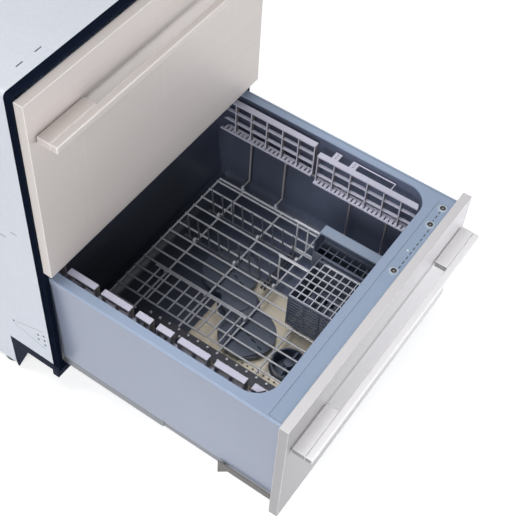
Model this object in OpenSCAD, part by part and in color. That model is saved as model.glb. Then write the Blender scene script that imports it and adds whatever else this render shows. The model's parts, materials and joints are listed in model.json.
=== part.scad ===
// Two-drawer dishwasher: a sheet-steel cabinet with two pull-out wash tubs.
// Millimetres, +Z up, X across the width, drawers open towards -Y.
// The origin is on the floor, at the middle of the width, in the plane of the
// cabinet sheet's front edge. The lower drawer is drawn open, the upper one closed.

/* [Cabinet] */
// Width of the cabinet across its sides
cabinet_w = 599; // [590:1:610]
// Depth of the cabinet behind its front edge
cabinet_d = 539; // [536:1:560]
// Height of the cabinet's top above the floor
cabinet_h = 816; // [814:1:830]
// Thickness of the cabinet sheet
sheet_t = 1; // [0.8:0.1:1.4]
// Outer radius of the folds between top and sides
fold_r = 8; // [4:1:12]
// Height of the side sheet's lower edge above the floor
skirt_z = 22; // [18:1:28]
// Height of the recess for the kick board
kick_h = 118; // [112:1:124]
// Depth of the recess for the kick board
kick_d = 108; // [90:1:120]

/* [Front trim] */
// Clearance between the trim's uprights and the tub's lip
trim_clear = 1; // [0.8:0.1:2.5]
// Depth of the trim in front of the cabinet sheet
trim_d = 15.5; // [12:0.5:17]
// Height of the trim's lower edge
trim_z = 114; // [110:1:116]
// Height of the kick frame's cross rail above the floor
kick_rail_z = 60; // [54:1:62]

/* [Drawer fronts] */
// How far each end of a front stays inside the cabinet's side
front_side_gap = 1.5; // [0.5:0.5:5]
// Thickness of a drawer front
front_t = 17.5; // [16:0.5:22]
// Sheet thickness of a drawer front
front_sheet = 1.2; // [1:0.1:1.6]
// Height of the upper drawer front
upper_front_h = 393; // [388:1:396]
// Height of the lower drawer front
lower_front_h = 301; // [298:1:304]
// Gap between the two drawer fronts
front_gap = 15; // [13:1:18]
// Height of the lower front's bottom edge above the floor
front_z = 100; // [98:1:104]
// Clearance between the trim and a closed drawer front
front_clear = 1; // [0.5:0.1:3]

/* [Handle] */
// Distance from a front's end to the handle's end
handle_inset = 15; // [8:1:55]
// Height and depth of the handle bar
handle_bar = 13; // [11:0.5:15]
// Reach of the handle in front of the drawer front
handle_reach = 40; // [34:1:46]
// Length of a handle end plate
handle_end = 102; // [70:1:120]
// Drop from the top of the front to the top of the handle
handle_drop = 68; // [50:1:90]

/* [Tub] */
// Gap between the tub's rim and the cabinet's side face
tub_side_gap = 12; // [11:0.5:19]
// Part of the cabinet's depth that the tub leaves free
tub_rear_gap = 7; // [5:1:19]
// Height of the tub from rim to underside
tub_h = 262; // [256:1:266]
// Drop from the top of the front to the tub's rim
rim_drop = 14; // [12:1:18]
// Width of the deck beside the opening
deck_side = 19; // [17:1:24]
// Width of the deck in front of the opening
deck_front = 47; // [42:1:52]
// Width of the deck behind the opening
deck_rear = 23; // [18:1:28]
// Corner radius of the tub's opening
tub_r = 46; // [30:1:60]
// Wall thickness of the tub
tub_wall = 3; // [2.5:0.1:3.5]
// Depth of the wash chamber below the rim
tub_depth = 242; // [236:1:246]
// Draft of the tub's walls over their height
tub_draft = 8; // [4:1:10]
// Radius between the chamber's walls and floor
floor_r = 26; // [16:1:34]

/* [Movement] */
// Travel of a drawer
drawer_travel = 473; // [440:1:475]
// Share of its travel by which the lower drawer is drawn open
lower_share = 1; // [0:0.05:1]
// Lift of a lid above the tub's rim
lid_lift = 6; // [4:0.5:6.5]
// Travel of a push button
button_travel = 1.2; // [0.8:0.1:1.6]

/* [Slides] */
// Height of a slide's outer channel
slide_h = 28; // [26:0.5:28.5]
// Sheet thickness of the slides
slide_t = 1.5; // [1.2:0.1:2]
// Length of a slide member
slide_len = 490; // [470:1:500]
// Running clearance between slide members
slide_clear = 0.35; // [0.3:0.05:0.5]

/* [Racks] */
// Diameter of the coated wire
wire_d = 4; // [3:0.2:5]
// Spacing of the rack's lengthwise wires
wire_pitch = 27; // [22:1:34]
// Depth of the rack's floor below the rim
rack_drop = 215; // [205:1:220]
// Length of one cup rack
cup_len = 221; // [190:1:222]
// Height of a stowed cup rack
cup_h = 80; // [60:1:90]
// Thickness of a cup rack across its grid
cup_t = 12; // [9:0.5:14]
// Thickness of a cup rack's slats
cup_slat = 2.6; // [2:0.1:3.5]
// Drop of a stowed cup rack's top below the rim
cup_drop = 5; // [4:0.5:8]
// Length of a plate tine
tine_len = 74; // [60:1:80]
// Spacing of the plate tines
tine_pitch = 24; // [20:1:25]

/* [Cutlery basket] */
// Width of the basket's cutlery bay
basket_w = 102; // [90:1:108]
// Width of the basket's tall bay
basket_back_w = 38; // [34:1:42]
// Length of the basket
basket_len = 126; // [110:1:130]
// Height of the cutlery bay
basket_h = 88; // [70:1:94]
// Height of the tall bay above the cutlery bay
basket_rise = 33; // [20:1:38]
// Wall thickness of the basket
basket_wall = 2.4; // [2:0.1:3]

/* [Wash parts] */
// Radius of a spray arm's lobes
lobe_r = 56; // [40:1:60]
// Reach of the spray arm from its hub
arm_reach = 128; // [100:1:150]
// Thickness of the spray arm
arm_t = 12; // [9:0.5:16]
// Turn of the spray arm as drawn
arm_turn = 48; // [0:1:179]
// Radius of the flat wash motor
motor_r = 56; // [45:1:58]
// Height of the flat wash motor
motor_h = 14; // [10:1:15]

/* [Connections] */
// Outer radius of the water inlet's threaded nose
inlet_r = 13.2; // [12:0.1:14]
// Outer radius of the drain spigot
drain_r = 9.5; // [8:0.5:11]
// Length of the inlet nose and the drain spigot behind the base
nose_len = 14; // [10:1:20]
// Radius of the fixing holes in the low cross rail
fixing_r = 2.25; // [2:0.05:3]
// Distance between the two fixing holes
fixing_pitch = 540; // [500:1:560]
// Radius of a levelling foot's pad
foot_r = 22; // [16:1:24]

/* [Hidden] */

seat = 0.3;                 // gap of a piece that rests on another body
eps = 0.01;
front_w = cabinet_w - 2 * front_side_gap;
handle_len = front_w - 2 * handle_inset;
tub_w = cabinet_w - 2 * tub_side_gap;
tub_d = cabinet_d - tub_rear_gap;
inside_x = cabinet_w / 2 - sheet_t;
back_y = cabinet_d - sheet_t;
trim_x = tub_w / 2 + trim_clear;
front_back_y = -trim_d - front_clear;
lower_open = lower_share * drawer_travel;
lower_rim_z = front_z + lower_front_h - rim_drop;
upper_front_z = front_z + lower_front_h + front_gap;
upper_rim_z = upper_front_z + upper_front_h - rim_drop;

rail_w = 26;                // the base frame's rails
base_z = 50;
base_rear = cabinet_d - nose_len;
back_rail_z = skirt_z + 60;
foot_x = inside_x - rail_w;
foot_ys = [kick_d + 28, base_rear - 56];
fitting_z = skirt_z + 30;
inlet_x = -190;
drain_x = -130;
gland_x = 190;
shoulder = 1.8;             // the fittings' bodies are this much larger in radius than their noses
joint_gap = 0.2;            // between pieces that are bolted or clipped together

lip_h = 13;                 // the tub's outer lip
lip_r = 3;
open_x = tub_w / 2 - deck_side;
open_front = deck_front;
open_rear = tub_d - deck_rear;
tub_mid_y = (open_front + open_rear) / 2;
skirt_x = tub_w / 2 - 3;    // outer skirt, just under the lip
low_x = skirt_x - tub_draft;
deck_t = tub_wall + 1;
floor_z = -tub_depth;
flat_y = open_front + tub_draft + floor_r + 1;   // where the chamber's flat floor begins
sump_r = 62;
filter_x = -60;
filter_r = 34;
filter_y = flat_y + filter_r + 6;

slide_x = low_x - 1;         // outer face of a slide's outer channel
slide_w = 20;
slide_top = -tub_h - 2;     // top of a slide's outer channel, below the rim
slide_y = 14;               // front end of a closed slide, from the front's back
inner_h = slide_h - 2 * slide_t - 2 * slide_clear;
core_h = inner_h - 2 * slide_t - 2 * slide_clear;

rack_z = -rack_drop;
rack_x = open_x - 42;        // the rack's side rails
cup_z = -cup_drop;
hinge_z = -cup_drop - cup_h - 5;
cup_x = open_x - 12;        // outer face of a stowed cup rack
hinge_x = cup_x - cup_t / 2;
cup_gap = 13;
cup_front_y = tub_mid_y - cup_gap / 2 - cup_len;
cup_rear_y = tub_mid_y + cup_gap / 2;
cup_fit = 2;                // clearance of a cup rack to the chamber's side wall
end_fit = 6;                // clearance of a cup rack to the chamber's end walls
left_segments = [30, 60, 60, 30];

tine_y = tub_mid_y - 30;
tine_xs = [-34, 60, 140];
clip_w = 7;                 // width of the clips that hold a tine row's shaft
bearing_ys = [tine_y - 9, tine_y + 3.5 * tine_pitch, tine_y + 7.5 * tine_pitch];
bar_y = tine_y + 4;
wire_past = wire_d / 2 + 0.6;  // how far a wire runs past the middle of the one it is welded to

basket_y = open_front + 22;
basket_step = 20;           // by which the cutlery bay is shorter than the tall bay
basket_x0 = 4;
basket_x1 = basket_x0 + basket_w;
basket_x2 = basket_x1 + basket_back_w + 14;
basket_z = rack_z + wire_d / 2;
flange_w = 21;
louvre_step = (basket_len - basket_step - 8) / 3;
grid_step = (basket_len - 8) / 7;

strip_y0 = 2;
strip_y1 = 29.5;
strip_x0 = -tub_w / 2 + 6;
strip_x1 = tub_w / 2 - 24;
strip_t = 2;
button_y = 15.5;
button_r = 6.5;
power_x = strip_x1 - 10.5;
start_x = power_x - 47;
mode_x = power_x - 175;

arm_z = floor_z + 4.5;
lid_t = 7;
seal_t = 4;
lid_x = tub_w / 2 - 7;
closed_rear = front_back_y + tub_d;
lid_front = 12;             // front edge of a lid behind the cabinet's front edge
lid_rear = closed_rear - 6;
lift_pin = [lid_x - 50.5, closed_rear + 9.5];

plastic_grey = [0.65, 0.72, 0.8];
steel = [0.74, 0.71, 0.69];
steel_light = [0.85, 0.85, 0.87];
rack_white = [0.86, 0.85, 0.92];
wire_grey = [0.72, 0.74, 0.78];
dark = [0.2, 0.21, 0.24];

module at_lower() {
    translate([0, front_back_y - lower_open, lower_rim_z]) children();
}

module at_upper() {
    translate([0, front_back_y, upper_rim_z]) children();
}

module both_sides() {
    children();
    mirror([1, 0, 0]) children();
}

// A bar between two corners given as [x, y, z]
module block(low, high) {
    translate(low) cube([high[0] - low[0], high[1] - low[1], high[2] - low[2]]);
}

// A straight wire between two points that differ on one axis only
module wire_x(x0, x1, y, z, d = wire_d) {
    translate([x0, y, z]) rotate([0, 90, 0]) cylinder(d = d, h = x1 - x0, $fn = 16);
}

module wire_y(x, y0, y1, z, d = wire_d) {
    translate([x, y0, z]) rotate([-90, 0, 0]) cylinder(d = d, h = y1 - y0, $fn = 16);
}

module wire_z(x, y, z0, z1, d = wire_d) {
    translate([x, y, z0]) cylinder(d = d, h = z1 - z0, $fn = 16);
}

// A rectangle with round corners, from its two corners
module round_rect(x0, y0, x1, y1, r) {
    square_w = x1 - x0 - 2 * r;
    square_h = y1 - y0 - 2 * r;
    translate([x0 + r, y0]) square([square_w, y1 - y0]);
    translate([x0, y0 + r]) square([x1 - x0, square_h]);
    for (x = [x0 + r, x1 - r], y = [y0 + r, y1 - r]) translate([x, y]) circle(r = r, $fn = 64);
}

/* ---------- cabinet ---------- */

module wrapper_section(inset) {
    difference() {
        round_rect(-cabinet_w / 2 + inset, -cabinet_h, cabinet_w / 2 - inset,
            cabinet_h - inset, fold_r - inset);
        translate([-cabinet_w, -2 * cabinet_h]) square([2 * cabinet_w, 2 * cabinet_h + skirt_z]);
    }
}

module side_holes() {
    // Five pin holes low on each side, and the lanced tabs that hold the trim and lids
    for (p = [[27.4, 193.7], [12.3, 199.4], [27.7, 178.1], [12.5, 186], [12.4, 171.7]])
        translate([-cabinet_w, p[0], p[1]]) rotate([0, 90, 0])
            cylinder(r = 1.6, h = 2 * cabinet_w, $fn = 20);
    for (p = [[66, 456], [37.7, 480.5]])
        block([-cabinet_w, p[0] - 7, p[1] - 1], [cabinet_w, p[0] + 7, p[1] + 1]);
}

module wrapper() color([0.85, 0.88, 0.92]) {
    difference() {
        rotate([90, 0, 0]) translate([0, 0, -cabinet_d]) linear_extrude(cabinet_d)
            difference() {
                wrapper_section(0);
                wrapper_section(sheet_t);
            }
        block([-cabinet_w, -1, 0], [cabinet_w, kick_d, kick_h]);
        side_holes();
        for (x = [-241, -202, 202, 241])
            block([x - 7, 21, cabinet_h - 2 * sheet_t], [x + 7, 23, cabinet_h + 1]);
    }
    // Inward flanges at the rear, where the back panel is screwed on
    difference() {
        both_sides() block([inside_x - 14, back_y - sheet_t, skirt_z + 40],
            [inside_x + eps, back_y, cabinet_h - fold_r - 4]);
        rear_screw_holes();
    }
}

module back_panel() color([0.72, 0.75, 0.78]) {
    back_z0 = skirt_z + 60;
    field_h = 90;
    field_x0 = 60;
    field_x1 = inside_x - 118.5;
    field_zs = [210, cabinet_h - 206];
    difference() {
        union() {
            block([-inside_x + seat, cabinet_d - sheet_t, back_z0],
                [inside_x - seat, cabinet_d, cabinet_h - fold_r - seat]);
            for (z = field_zs) both_sides()
                block([field_x0, cabinet_d - 3, z], [field_x1, back_y + eps, z + field_h]);
        }
        for (z = field_zs) both_sides()
            block([field_x0 + 2, cabinet_d - 3 + sheet_t, z + 2], [field_x1 - 2, cabinet_d + 1, z + field_h - 2]);
        rear_screw_holes();
    }
}

module rear_screw_holes() {
    x = inside_x - 7.5;
    for (s = [-1, 1], z = [110, cabinet_h / 2 + 42, cabinet_h - 36])
        translate([s * x, cabinet_d - 4, z]) rotate([-90, 0, 0]) cylinder(r = 1.9, h = 6, $fn = 20);
}

// Four rails bolted into a frame: two at the sides, one across the front, one at the rear
module base_frame() color([0.1, 0.11, 0.13]) {
    pad_w = 34;
    cross_x = foot_x - pad_w - joint_gap;
    difference() {
        union() {
            both_sides() block([inside_x - rail_w, kick_d + 2, skirt_z],
                [inside_x, base_rear - 30 - joint_gap, base_z]);
            block([-cross_x, kick_d + 2, skirt_z], [cross_x, kick_d + pad_w, base_z]);
            block([-inside_x, base_rear - 30, skirt_z], [inside_x, base_rear, back_rail_z]);
            for (y = foot_ys) both_sides()
                block([foot_x - pad_w, y - pad_w / 2, skirt_z], [foot_x + eps, y + pad_w / 2, skirt_z + 12]);
        }
        // Pockets under the rails, and the bores of the feet and connections
        for (y = [kick_d + 80 : 46 : cabinet_d - 160]) both_sides()
            block([inside_x - rail_w + 4, y, skirt_z - 1], [inside_x - 5, y + 40, base_z - 5]);
        for (x = [-220 : 48 : 180])
            block([x, kick_d + 6, skirt_z - 1], [x + 42, kick_d + 29, base_z - 5]);
        for (x = [-foot_x, foot_x], y = foot_ys)
            translate([x, y, skirt_z - 1]) cylinder(r = 5.1, h = base_z, $fn = 32);
        fitting_bore(inlet_x, inlet_r + shoulder);
        fitting_bore(drain_x, drain_r + shoulder);
        fitting_bore(gland_x, 9);
    }
}

module fitting_bore(x, r) {
    translate([x, base_rear - 40, fitting_z]) rotate([-90, 0, 0]) cylinder(r = r, h = 60, $fn = 48);
}

// Black steel trim in front of the sheet: two uprights under a top rail
module front_trim() color([0.05, 0.07, 0.12]) {
    top_rail_h = 4;
    rotate([90, 0, 0]) linear_extrude(trim_d) difference() {
        intersection() {
            round_rect(-cabinet_w / 2, trim_z - 40, cabinet_w / 2, cabinet_h, fold_r);
            translate([-cabinet_w, trim_z]) square([2 * cabinet_w, cabinet_h]);
        }
        translate([-trim_x, trim_z - 1])
            square([2 * trim_x, cabinet_h - trim_z + 1 - top_rail_h]);
    }
}

// Dark strips along the kick recess, a brace behind each and a low cross rail
module kick_frame() color([0.1, 0.12, 0.17]) {
    strip_h = 24;
    rail_h = 16;
    leg_x = trim_x - 1;
    boss_x = fixing_pitch / 2 - 10;
    difference() {
        union() {
            both_sides() {
                block([inside_x - 9, 0, kick_h - strip_h], [cabinet_w / 2, kick_d, kick_h - seat]);
                block([leg_x, 0, kick_rail_z], [inside_x - 6, 14, kick_h - seat]);
                translate([inside_x, 0, 0]) rotate([0, -90, 0]) linear_extrude(3)
                    polygon([[kick_h - strip_h + 1, kick_d - 40], [kick_h - strip_h + 1, kick_d + 1],
                        [28, kick_d + 2], [8, kick_d - 3]]);
            }
            block([-leg_x - 1, 0, kick_rail_z], [leg_x + 1, 14, kick_rail_z + rail_h]);
        }
        both_sides() block([inside_x - 5, 16, kick_h - strip_h - 1],
            [inside_x - 2, kick_d - 3, kick_h - seat - 4]);
        block([-boss_x, 2, kick_rail_z - 1], [boss_x, 12, kick_rail_z + rail_h - 2]);
        both_sides() translate([fixing_pitch / 2, -1, kick_rail_z + rail_h / 2])
            rotate([-90, 0, 0]) cylinder(r = fixing_r, h = 16, $fn = 32);
    }
}

module levelling_feet() color([0.16, 0.16, 0.17]) {
    for (x = [-foot_x, foot_x], y = foot_ys) translate([x, y, 0]) {
        cylinder(r = foot_r, h = 5, $fn = 48);
        translate([0, 0, skirt_z - 8]) cylinder(r = 9, h = 8, $fn = 6);
        cylinder(r = 5, h = skirt_z + 20, $fn = 32);
    }
}

module divider_rail() color([0.07, 0.09, 0.14]) {
    z0 = lower_rim_z + 17;
    difference() {
        block([-trim_x, -trim_d + 2, z0], [trim_x, -1, z0 + 10]);
        block([-trim_x + 2, -trim_d + 4, z0 - 1], [trim_x - 2, -3, z0 + 8.5]);
    }
}

/* ---------- slides: three nested channels on each side ---------- */

module outer_channel(len) {
    rotate([-90, 0, 0]) linear_extrude(len) difference() {
        translate([-slide_w, 0]) square([slide_w, slide_h]);
        translate([-slide_w - 1, slide_t]) square([slide_w + 1 - slide_t, slide_h - 2 * slide_t]);
    }
}

module cabinet_rail() {
    bracket_w = 60;
    gap = inside_x - slide_x;
    translate([slide_x, 0, slide_top]) {
        translate([0, 18, 0]) outer_channel(front_back_y + slide_y + slide_len - 18);
        // Hat brackets out to the cabinet's side
        for (y = [118, cabinet_d - 289, cabinet_d - 139]) difference() {
            block([-eps, y, -slide_h + 4], [gap, y + bracket_w, -4]);
            block([-1, y + 3, -slide_h + 3], [gap - 2, y + bracket_w - 3, -3]);
        }
    }
}

module cabinet_rails() color([0.2, 0.21, 0.23]) both_sides() {
    for (rim = [lower_rim_z, upper_rim_z]) translate([0, 0, rim]) cabinet_rail();
}

// Middle member: runs half the drawer's travel
module runner() {
    runner_w = 14;
    edge = slide_t + slide_clear;
    both_sides() translate([slide_x - edge, slide_y, slide_top - edge])
        rotate([-90, 0, 0]) linear_extrude(slide_len) difference() {
            translate([-runner_w, 0]) square([runner_w, inner_h]);
            translate([-runner_w - 1, slide_t]) square([runner_w + 1 - slide_t, inner_h - 2 * slide_t]);
        }
}

// Inner member: a closed bar in the runner, with a shelf under the tub
module drawer_rail() {
    core_w = 18;
    edge = 2 * slide_t + 2 * slide_clear;
    shelf_x = slide_x - edge - core_w;
    both_sides() {
        translate([slide_x - edge, slide_y, slide_top - edge])
            rotate([-90, 0, 0]) linear_extrude(slide_len) difference() {
                translate([-core_w, 0]) square([core_w, core_h]);
                translate([-core_w + slide_t, slide_t])
                    square([core_w - 2 * slide_t, core_h - 2 * slide_t]);
            }
        block([shelf_x - slide_t, slide_y, slide_top - edge - core_h / 2],
            [shelf_x + eps, slide_y + slide_len, -tub_h]);
        block([shelf_x - 16, slide_y, -tub_h - slide_t], [shelf_x - slide_t + eps, slide_y + slide_len, -tub_h]);
    }
}

// Folded bracket from the drawer front back under the tub, with a hanging ear
module door_bracket() {
    arm_len = 122;
    out_x = low_x + 5;
    in_x = slide_x - slide_w - 24;
    low = -tub_h - 19;
    both_sides() difference() {
        union() {
            block([out_x - 2, 0, low], [out_x, arm_len, -tub_h - 2]);
            block([in_x + 6, 0, low], [out_x, slide_y - 2, low + 2]);
            block([in_x, 0, low], [out_x, 2, -tub_h - 2]);
            translate([out_x, 0, 0]) rotate([0, -90, 0]) linear_extrude(2)
                polygon([[low + 1, arm_len - 22], [low + 1, arm_len], [low - 26, arm_len]]);
        }
        translate([in_x + 10, -1, low + 9]) rotate([-90, 0, 0]) cylinder(r = 2.2, h = 6, $fn = 20);
    }
}

/* ---------- lids ---------- */

module lid_plate() {
    difference() {
        union() {
            translate([0, 0, seal_t]) linear_extrude(lid_t)
                round_rect(-lid_x, lid_front, lid_x, lid_rear, 30);
            // Ears that run on the lifters' pins behind and in the guides beside
            both_sides() block([lift_pin[0] - 26, lid_rear - 4, seal_t],
                [lift_pin[0] + 26, lift_pin[1] + 8, seal_t + lid_t]);
            both_sides() block([lid_x - 4, 40, seal_t + 2], [inside_x - 2, 62, seal_t + lid_t - 1]);
        }
        both_sides() translate([lift_pin[0], lift_pin[1], seal_t - 1])
            cylinder(r = 5.4, h = lid_t + 2, $fn = 40);
        translate([0, 0, seal_t - 1]) linear_extrude(lid_t - 2)
            round_rect(-open_x + 14, front_back_y + open_front + 14, open_x - 14,
                front_back_y + open_rear - 14, 34);
        // Pressed panels that stiffen the lid's top
        for (x = [-170, 0, 170]) block([x - 70, lid_front + 60, seal_t + lid_t - 1],
            [x + 70, lid_rear - 60, seal_t + lid_t + 1]);
    }
}

module seal_ring() {
    y0 = front_back_y + open_front;
    y1 = front_back_y + open_rear;
    linear_extrude(seal_t) difference() {
        round_rect(-open_x - 9, y0 - 9, open_x + 9, y1 + 9, tub_r + 9);
        round_rect(-open_x - 2, y0 - 2, open_x + 2, y1 + 2, tub_r + 2);
    }
}

module lower_lid() color([0.75, 0.79, 0.84])
    translate([0, 0, lower_rim_z + seat + lid_lift]) lid_plate();

module upper_lid() color([0.75, 0.79, 0.84])
    translate([0, 0, upper_rim_z + seat + lid_lift]) lid_plate();

module lower_lid_seal() color([0.3, 0.31, 0.33])
    translate([0, 0, lower_rim_z + seat + lid_lift]) seal_ring();

module upper_lid_seal() color([0.3, 0.31, 0.33])
    translate([0, 0, upper_rim_z + seat + lid_lift]) seal_ring();

// Motor boxes with guide pins behind each lid, and the guides at its sides
module lid_lifters() color([0.55, 0.57, 0.6]) for (rim = [lower_rim_z, upper_rim_z]) both_sides() {
    box_top = rim - 5;
    block([lift_pin[0] - 30, closed_rear + 1.5, rim - 74], [lift_pin[0] + 30, back_y - 2.5, box_top]);
    block([lift_pin[0] - 20, back_y - 3, rim - 60], [lift_pin[0] + 20, back_y, rim - 30]);
    translate([lift_pin[0], lift_pin[1], box_top - 1])
        cylinder(r = 5, h = rim + seat + lid_lift + seal_t + lid_t - box_top + 1, $fn = 40);
    for (y = [36, 62.5]) block([lid_x + 3, y, rim + 2], [inside_x, y + 3.5, rim + 13]);
    block([lid_x + 3, 36, rim + 2], [inside_x, 66, rim + seal_t + 2 - seat]);
}

/* ---------- rear connections ---------- */

module inlet_valve() color([0.9, 0.9, 0.88]) {
    translate([inlet_x, base_rear - 48, fitting_z]) rotate([-90, 0, 0])
        cylinder(r = inlet_r + shoulder, h = 48, $fn = 48);
    translate([inlet_x, base_rear - 4, fitting_z]) rotate([-90, 0, 0])
        cylinder(r = inlet_r, h = 4 + nose_len, $fn = 48);
    translate([inlet_x, base_rear - 34, fitting_z]) rotate([-90, 0, 0])
        cylinder(r = inlet_r + 4, h = 4, $fn = 48);
    block([inlet_x - 15, base_rear - 74, fitting_z - 15], [inlet_x + 15, base_rear - 44, fitting_z + 15]);
    translate([inlet_x, base_rear - 59, fitting_z]) cylinder(r = 12, h = 44, $fn = 48);
}

module drain_outlet() color([0.35, 0.36, 0.38])
    translate([drain_x, base_rear, fitting_z]) rotate([-90, 0, 0]) difference() {
        union() {
            translate([0, 0, -60]) cylinder(r = drain_r + shoulder, h = 60, $fn = 48);
            translate([0, 0, -4]) cylinder(r = drain_r, h = 4 + nose_len, $fn = 48);
            translate([0, 0, -34]) cylinder(r = drain_r + 5, h = 4, $fn = 48);
        }
        translate([0, 0, -61]) cylinder(r = drain_r - 2.5, h = 90, $fn = 48);
    }

module cable_gland() color([0.12, 0.12, 0.13])
    translate([gland_x, base_rear, fitting_z]) rotate([-90, 0, 0]) difference() {
        union() {
            translate([0, 0, -40]) cylinder(r = 9, h = 46, $fn = 48);
            cylinder(r = 13, h = 5, $fn = 48);
        }
        translate([0, 0, -41]) cylinder(r = 4.2, h = 60, $fn = 32);
    }

/* ---------- tub ---------- */

// Chamber space: a plan with round corners, cut by two drafted outlines
module chamber(grow = 0) {
    x = open_x + grow;
    y0 = open_front - grow;
    y1 = open_rear + grow;
    low = floor_z - grow;
    r = floor_r + grow;
    intersection() {
        translate([0, 0, low]) linear_extrude(-low + 1) round_rect(-x, y0, x, y1, tub_r + grow);
        translate([0, y0 - 1, 0]) rotate([-90, 0, 0]) linear_extrude(y1 - y0 + 2)
            drafted_outline(-x, x, -low, r);
        translate([-x - 1, 0, 0]) rotate([-90, 0, -90]) linear_extrude(2 * x + 2)
            drafted_outline(-y1, -y0, -low, r);
    }
}

// Outline open at the top, drawn with depth as +Y: drafted sides and round lower corners
module drafted_outline(a, b, depth, r) {
    lean = tub_draft;
    polygon([[a, -1], [b, -1], [b - lean, depth - r], [b - lean - r, depth],
        [a + lean + r, depth], [a + lean, depth - r]]);
    for (x = [a + lean + r, b - lean - r]) translate([x, depth - r]) circle(r = r, $fn = 64);
}

module tub_body() {
    half = tub_w / 2;
    difference() {
        union() {
            // Deck and lip
            translate([0, 0, -lip_h]) linear_extrude(lip_h - lip_r) tub_plan(0);
            translate([0, 0, -lip_r]) linear_extrude(lip_r) tub_plan(lip_r);
            tub_lip_edges();
            // Drafted outer skirt
            intersection() {
                translate([0, 0, -tub_h]) linear_extrude(tub_h - lip_h + 1) tub_plan(3);
                translate([0, -1, 0]) rotate([-90, 0, 0]) linear_extrude(tub_d + 2)
                    polygon([[-skirt_x, 0], [skirt_x, 0], [low_x, tub_h], [-low_x, tub_h]]);
            }
        }
        chamber();
        // Hollow between the chamber and the skirt, open underneath
        difference() {
            intersection() {
                block([-half, tub_wall, -tub_h - 1], [half, tub_d - 3 - tub_wall, -deck_t]);
                translate([0, -1, 0]) rotate([-90, 0, 0]) linear_extrude(tub_d + 2)
                    polygon([[-skirt_x + tub_wall, 0], [skirt_x - tub_wall, 0],
                        [low_x - tub_wall, tub_h + 2], [-low_x + tub_wall, tub_h + 2]]);
            }
            chamber(tub_wall);
            tub_ribs();
            translate([filter_x, filter_y, -tub_h - 2]) cylinder(r = filter_r + 3.6, h = 40, $fn = 64);
        }
        // Recess for the control strip
        block([strip_x0 - seat, strip_y0 - seat, -strip_t], [strip_x1 + seat, strip_y1 + seat, 1]);
        for (x = [power_x, start_x, mode_x])
            translate([x, button_y, -20]) cylinder(r = button_r + 1.2, h = 21, $fn = 32);
        // Opening for the motor's shaft, well of the drain filter
        translate([0, tub_mid_y, floor_z - tub_wall - 1]) cylinder(r = 24, h = tub_wall + 2, $fn = 48);
        translate([filter_x, filter_y, floor_z - 16]) cylinder(r = filter_r + 0.6, h = 20, $fn = 64);
    }
}

module tub_plan(inset) {
    translate([-tub_w / 2 + inset, 0]) square([tub_w - 2 * inset, tub_d - inset - 12]);
    intersection() {
        round_rect(-tub_w / 2 + inset, tub_d / 2, tub_w / 2 - inset, tub_d - inset, 12);
        translate([-tub_w, tub_d / 2]) square([2 * tub_w, tub_d]);
    }
}

// Rounded top edge of the lip along both sides
module tub_lip_edges() {
    both_sides() translate([tub_w / 2 - lip_r, 0, -lip_r]) rotate([-90, 0, 0])
        cylinder(r = lip_r, h = tub_d - 12, $fn = 32);
}

// Walls that tie the chamber to the skirt and carry the drawer rails
module tub_ribs() {
    for (y = [96, 190, tub_d - 166, tub_d - 72])
        block([-tub_w / 2, y - 1.5, -tub_h - 2], [tub_w / 2, y + 1.5, 0]);
    both_sides() block([slide_x - 50, 0, -tub_h - 2], [slide_x - 47, tub_d, 0]);
}

/* ---------- drawer front and handle ---------- */

module front_panel(h) {
    s = front_sheet;
    top = rim_drop;
    low = top - h;
    fold = 16;
    x = front_w / 2;
    difference() {
        block([-x, -front_t, low], [x, 0, top]);
        block([-x + s, -front_t + s, low + s], [x - s, -s, top - s]);
        block([-x + fold, -s - 1, low + fold], [x - fold, 1, top - fold]);
    }
    // Hat-section ribs behind the sheet, where the brackets and the tub are screwed on
    for (rx = [-200, 0, 200]) panel_rib([rx - 12, low + fold - 4], [rx + 12, top - fold + 4], true);
    panel_rib([-x + fold - 2, -36], [x - fold + 2, -18], false);
    both_sides() block([slide_x - 46, -s - eps, max(low + 3, -tub_h - 24)], [x - 4, 0, -tub_h + 30]);
}

module panel_rib(low, high, upright) {
    s = front_sheet;
    end = 1;
    difference() {
        block([low[0], -front_t + s - eps, low[1]], [high[0], -s + eps, high[1]]);
        if (upright) block([low[0] + s, -front_t, low[1] - end], [high[0] - s, -2 * s, high[1] + end]);
        else block([low[0] - end, -front_t, low[1] + s], [high[0] + end, -2 * s, high[1] - s]);
    }
}

module handle_bar_at() {
    z1 = rim_drop - handle_drop;
    y0 = -front_t - handle_reach;
    block([-handle_len / 2, y0, z1 - handle_bar], [handle_len / 2, y0 + handle_bar, z1]);
}

module handle_ends_at() {
    z1 = rim_drop - handle_drop;
    y0 = -front_t - handle_reach + handle_bar;
    both_sides() difference() {
        union() {
            block([handle_len / 2 - handle_end, y0, z1 - handle_bar],
                [handle_len / 2, -front_t - 2.5, z1]);
            block([handle_len / 2 - handle_end + 3, -front_t - 3, z1 - handle_bar + 2.5],
                [handle_len / 2 - 3, -front_t, z1 - 2.5]);
        }
        // Shallow groove where the plate meets the bar
        block([handle_len / 2 - handle_end - 1, y0 - 1, z1 - 0.8], [handle_len / 2 + 1, y0 + 0.8, z1 + 1]);
        block([handle_len / 2 - handle_end + 4, y0 + 5, z1 - handle_bar - 1],
            [handle_len / 2 - 4, -front_t - 6, z1 - 3]);
    }
}

/* ---------- control strip and buttons ---------- */

module control_strip_at() {
    difference() {
        union() {
            block([strip_x0, strip_y0, -strip_t], [strip_x1, strip_y1, -seat]);
            for (x = [power_x, start_x, mode_x])
                translate([x, button_y, -strip_t]) cylinder(r = 10, h = strip_t, $fn = 48);
        }
        for (x = [power_x, start_x, mode_x])
            translate([x, button_y, -strip_t - 1]) cylinder(r = button_r + seat, h = 4, $fn = 48);
    }
}

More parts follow.
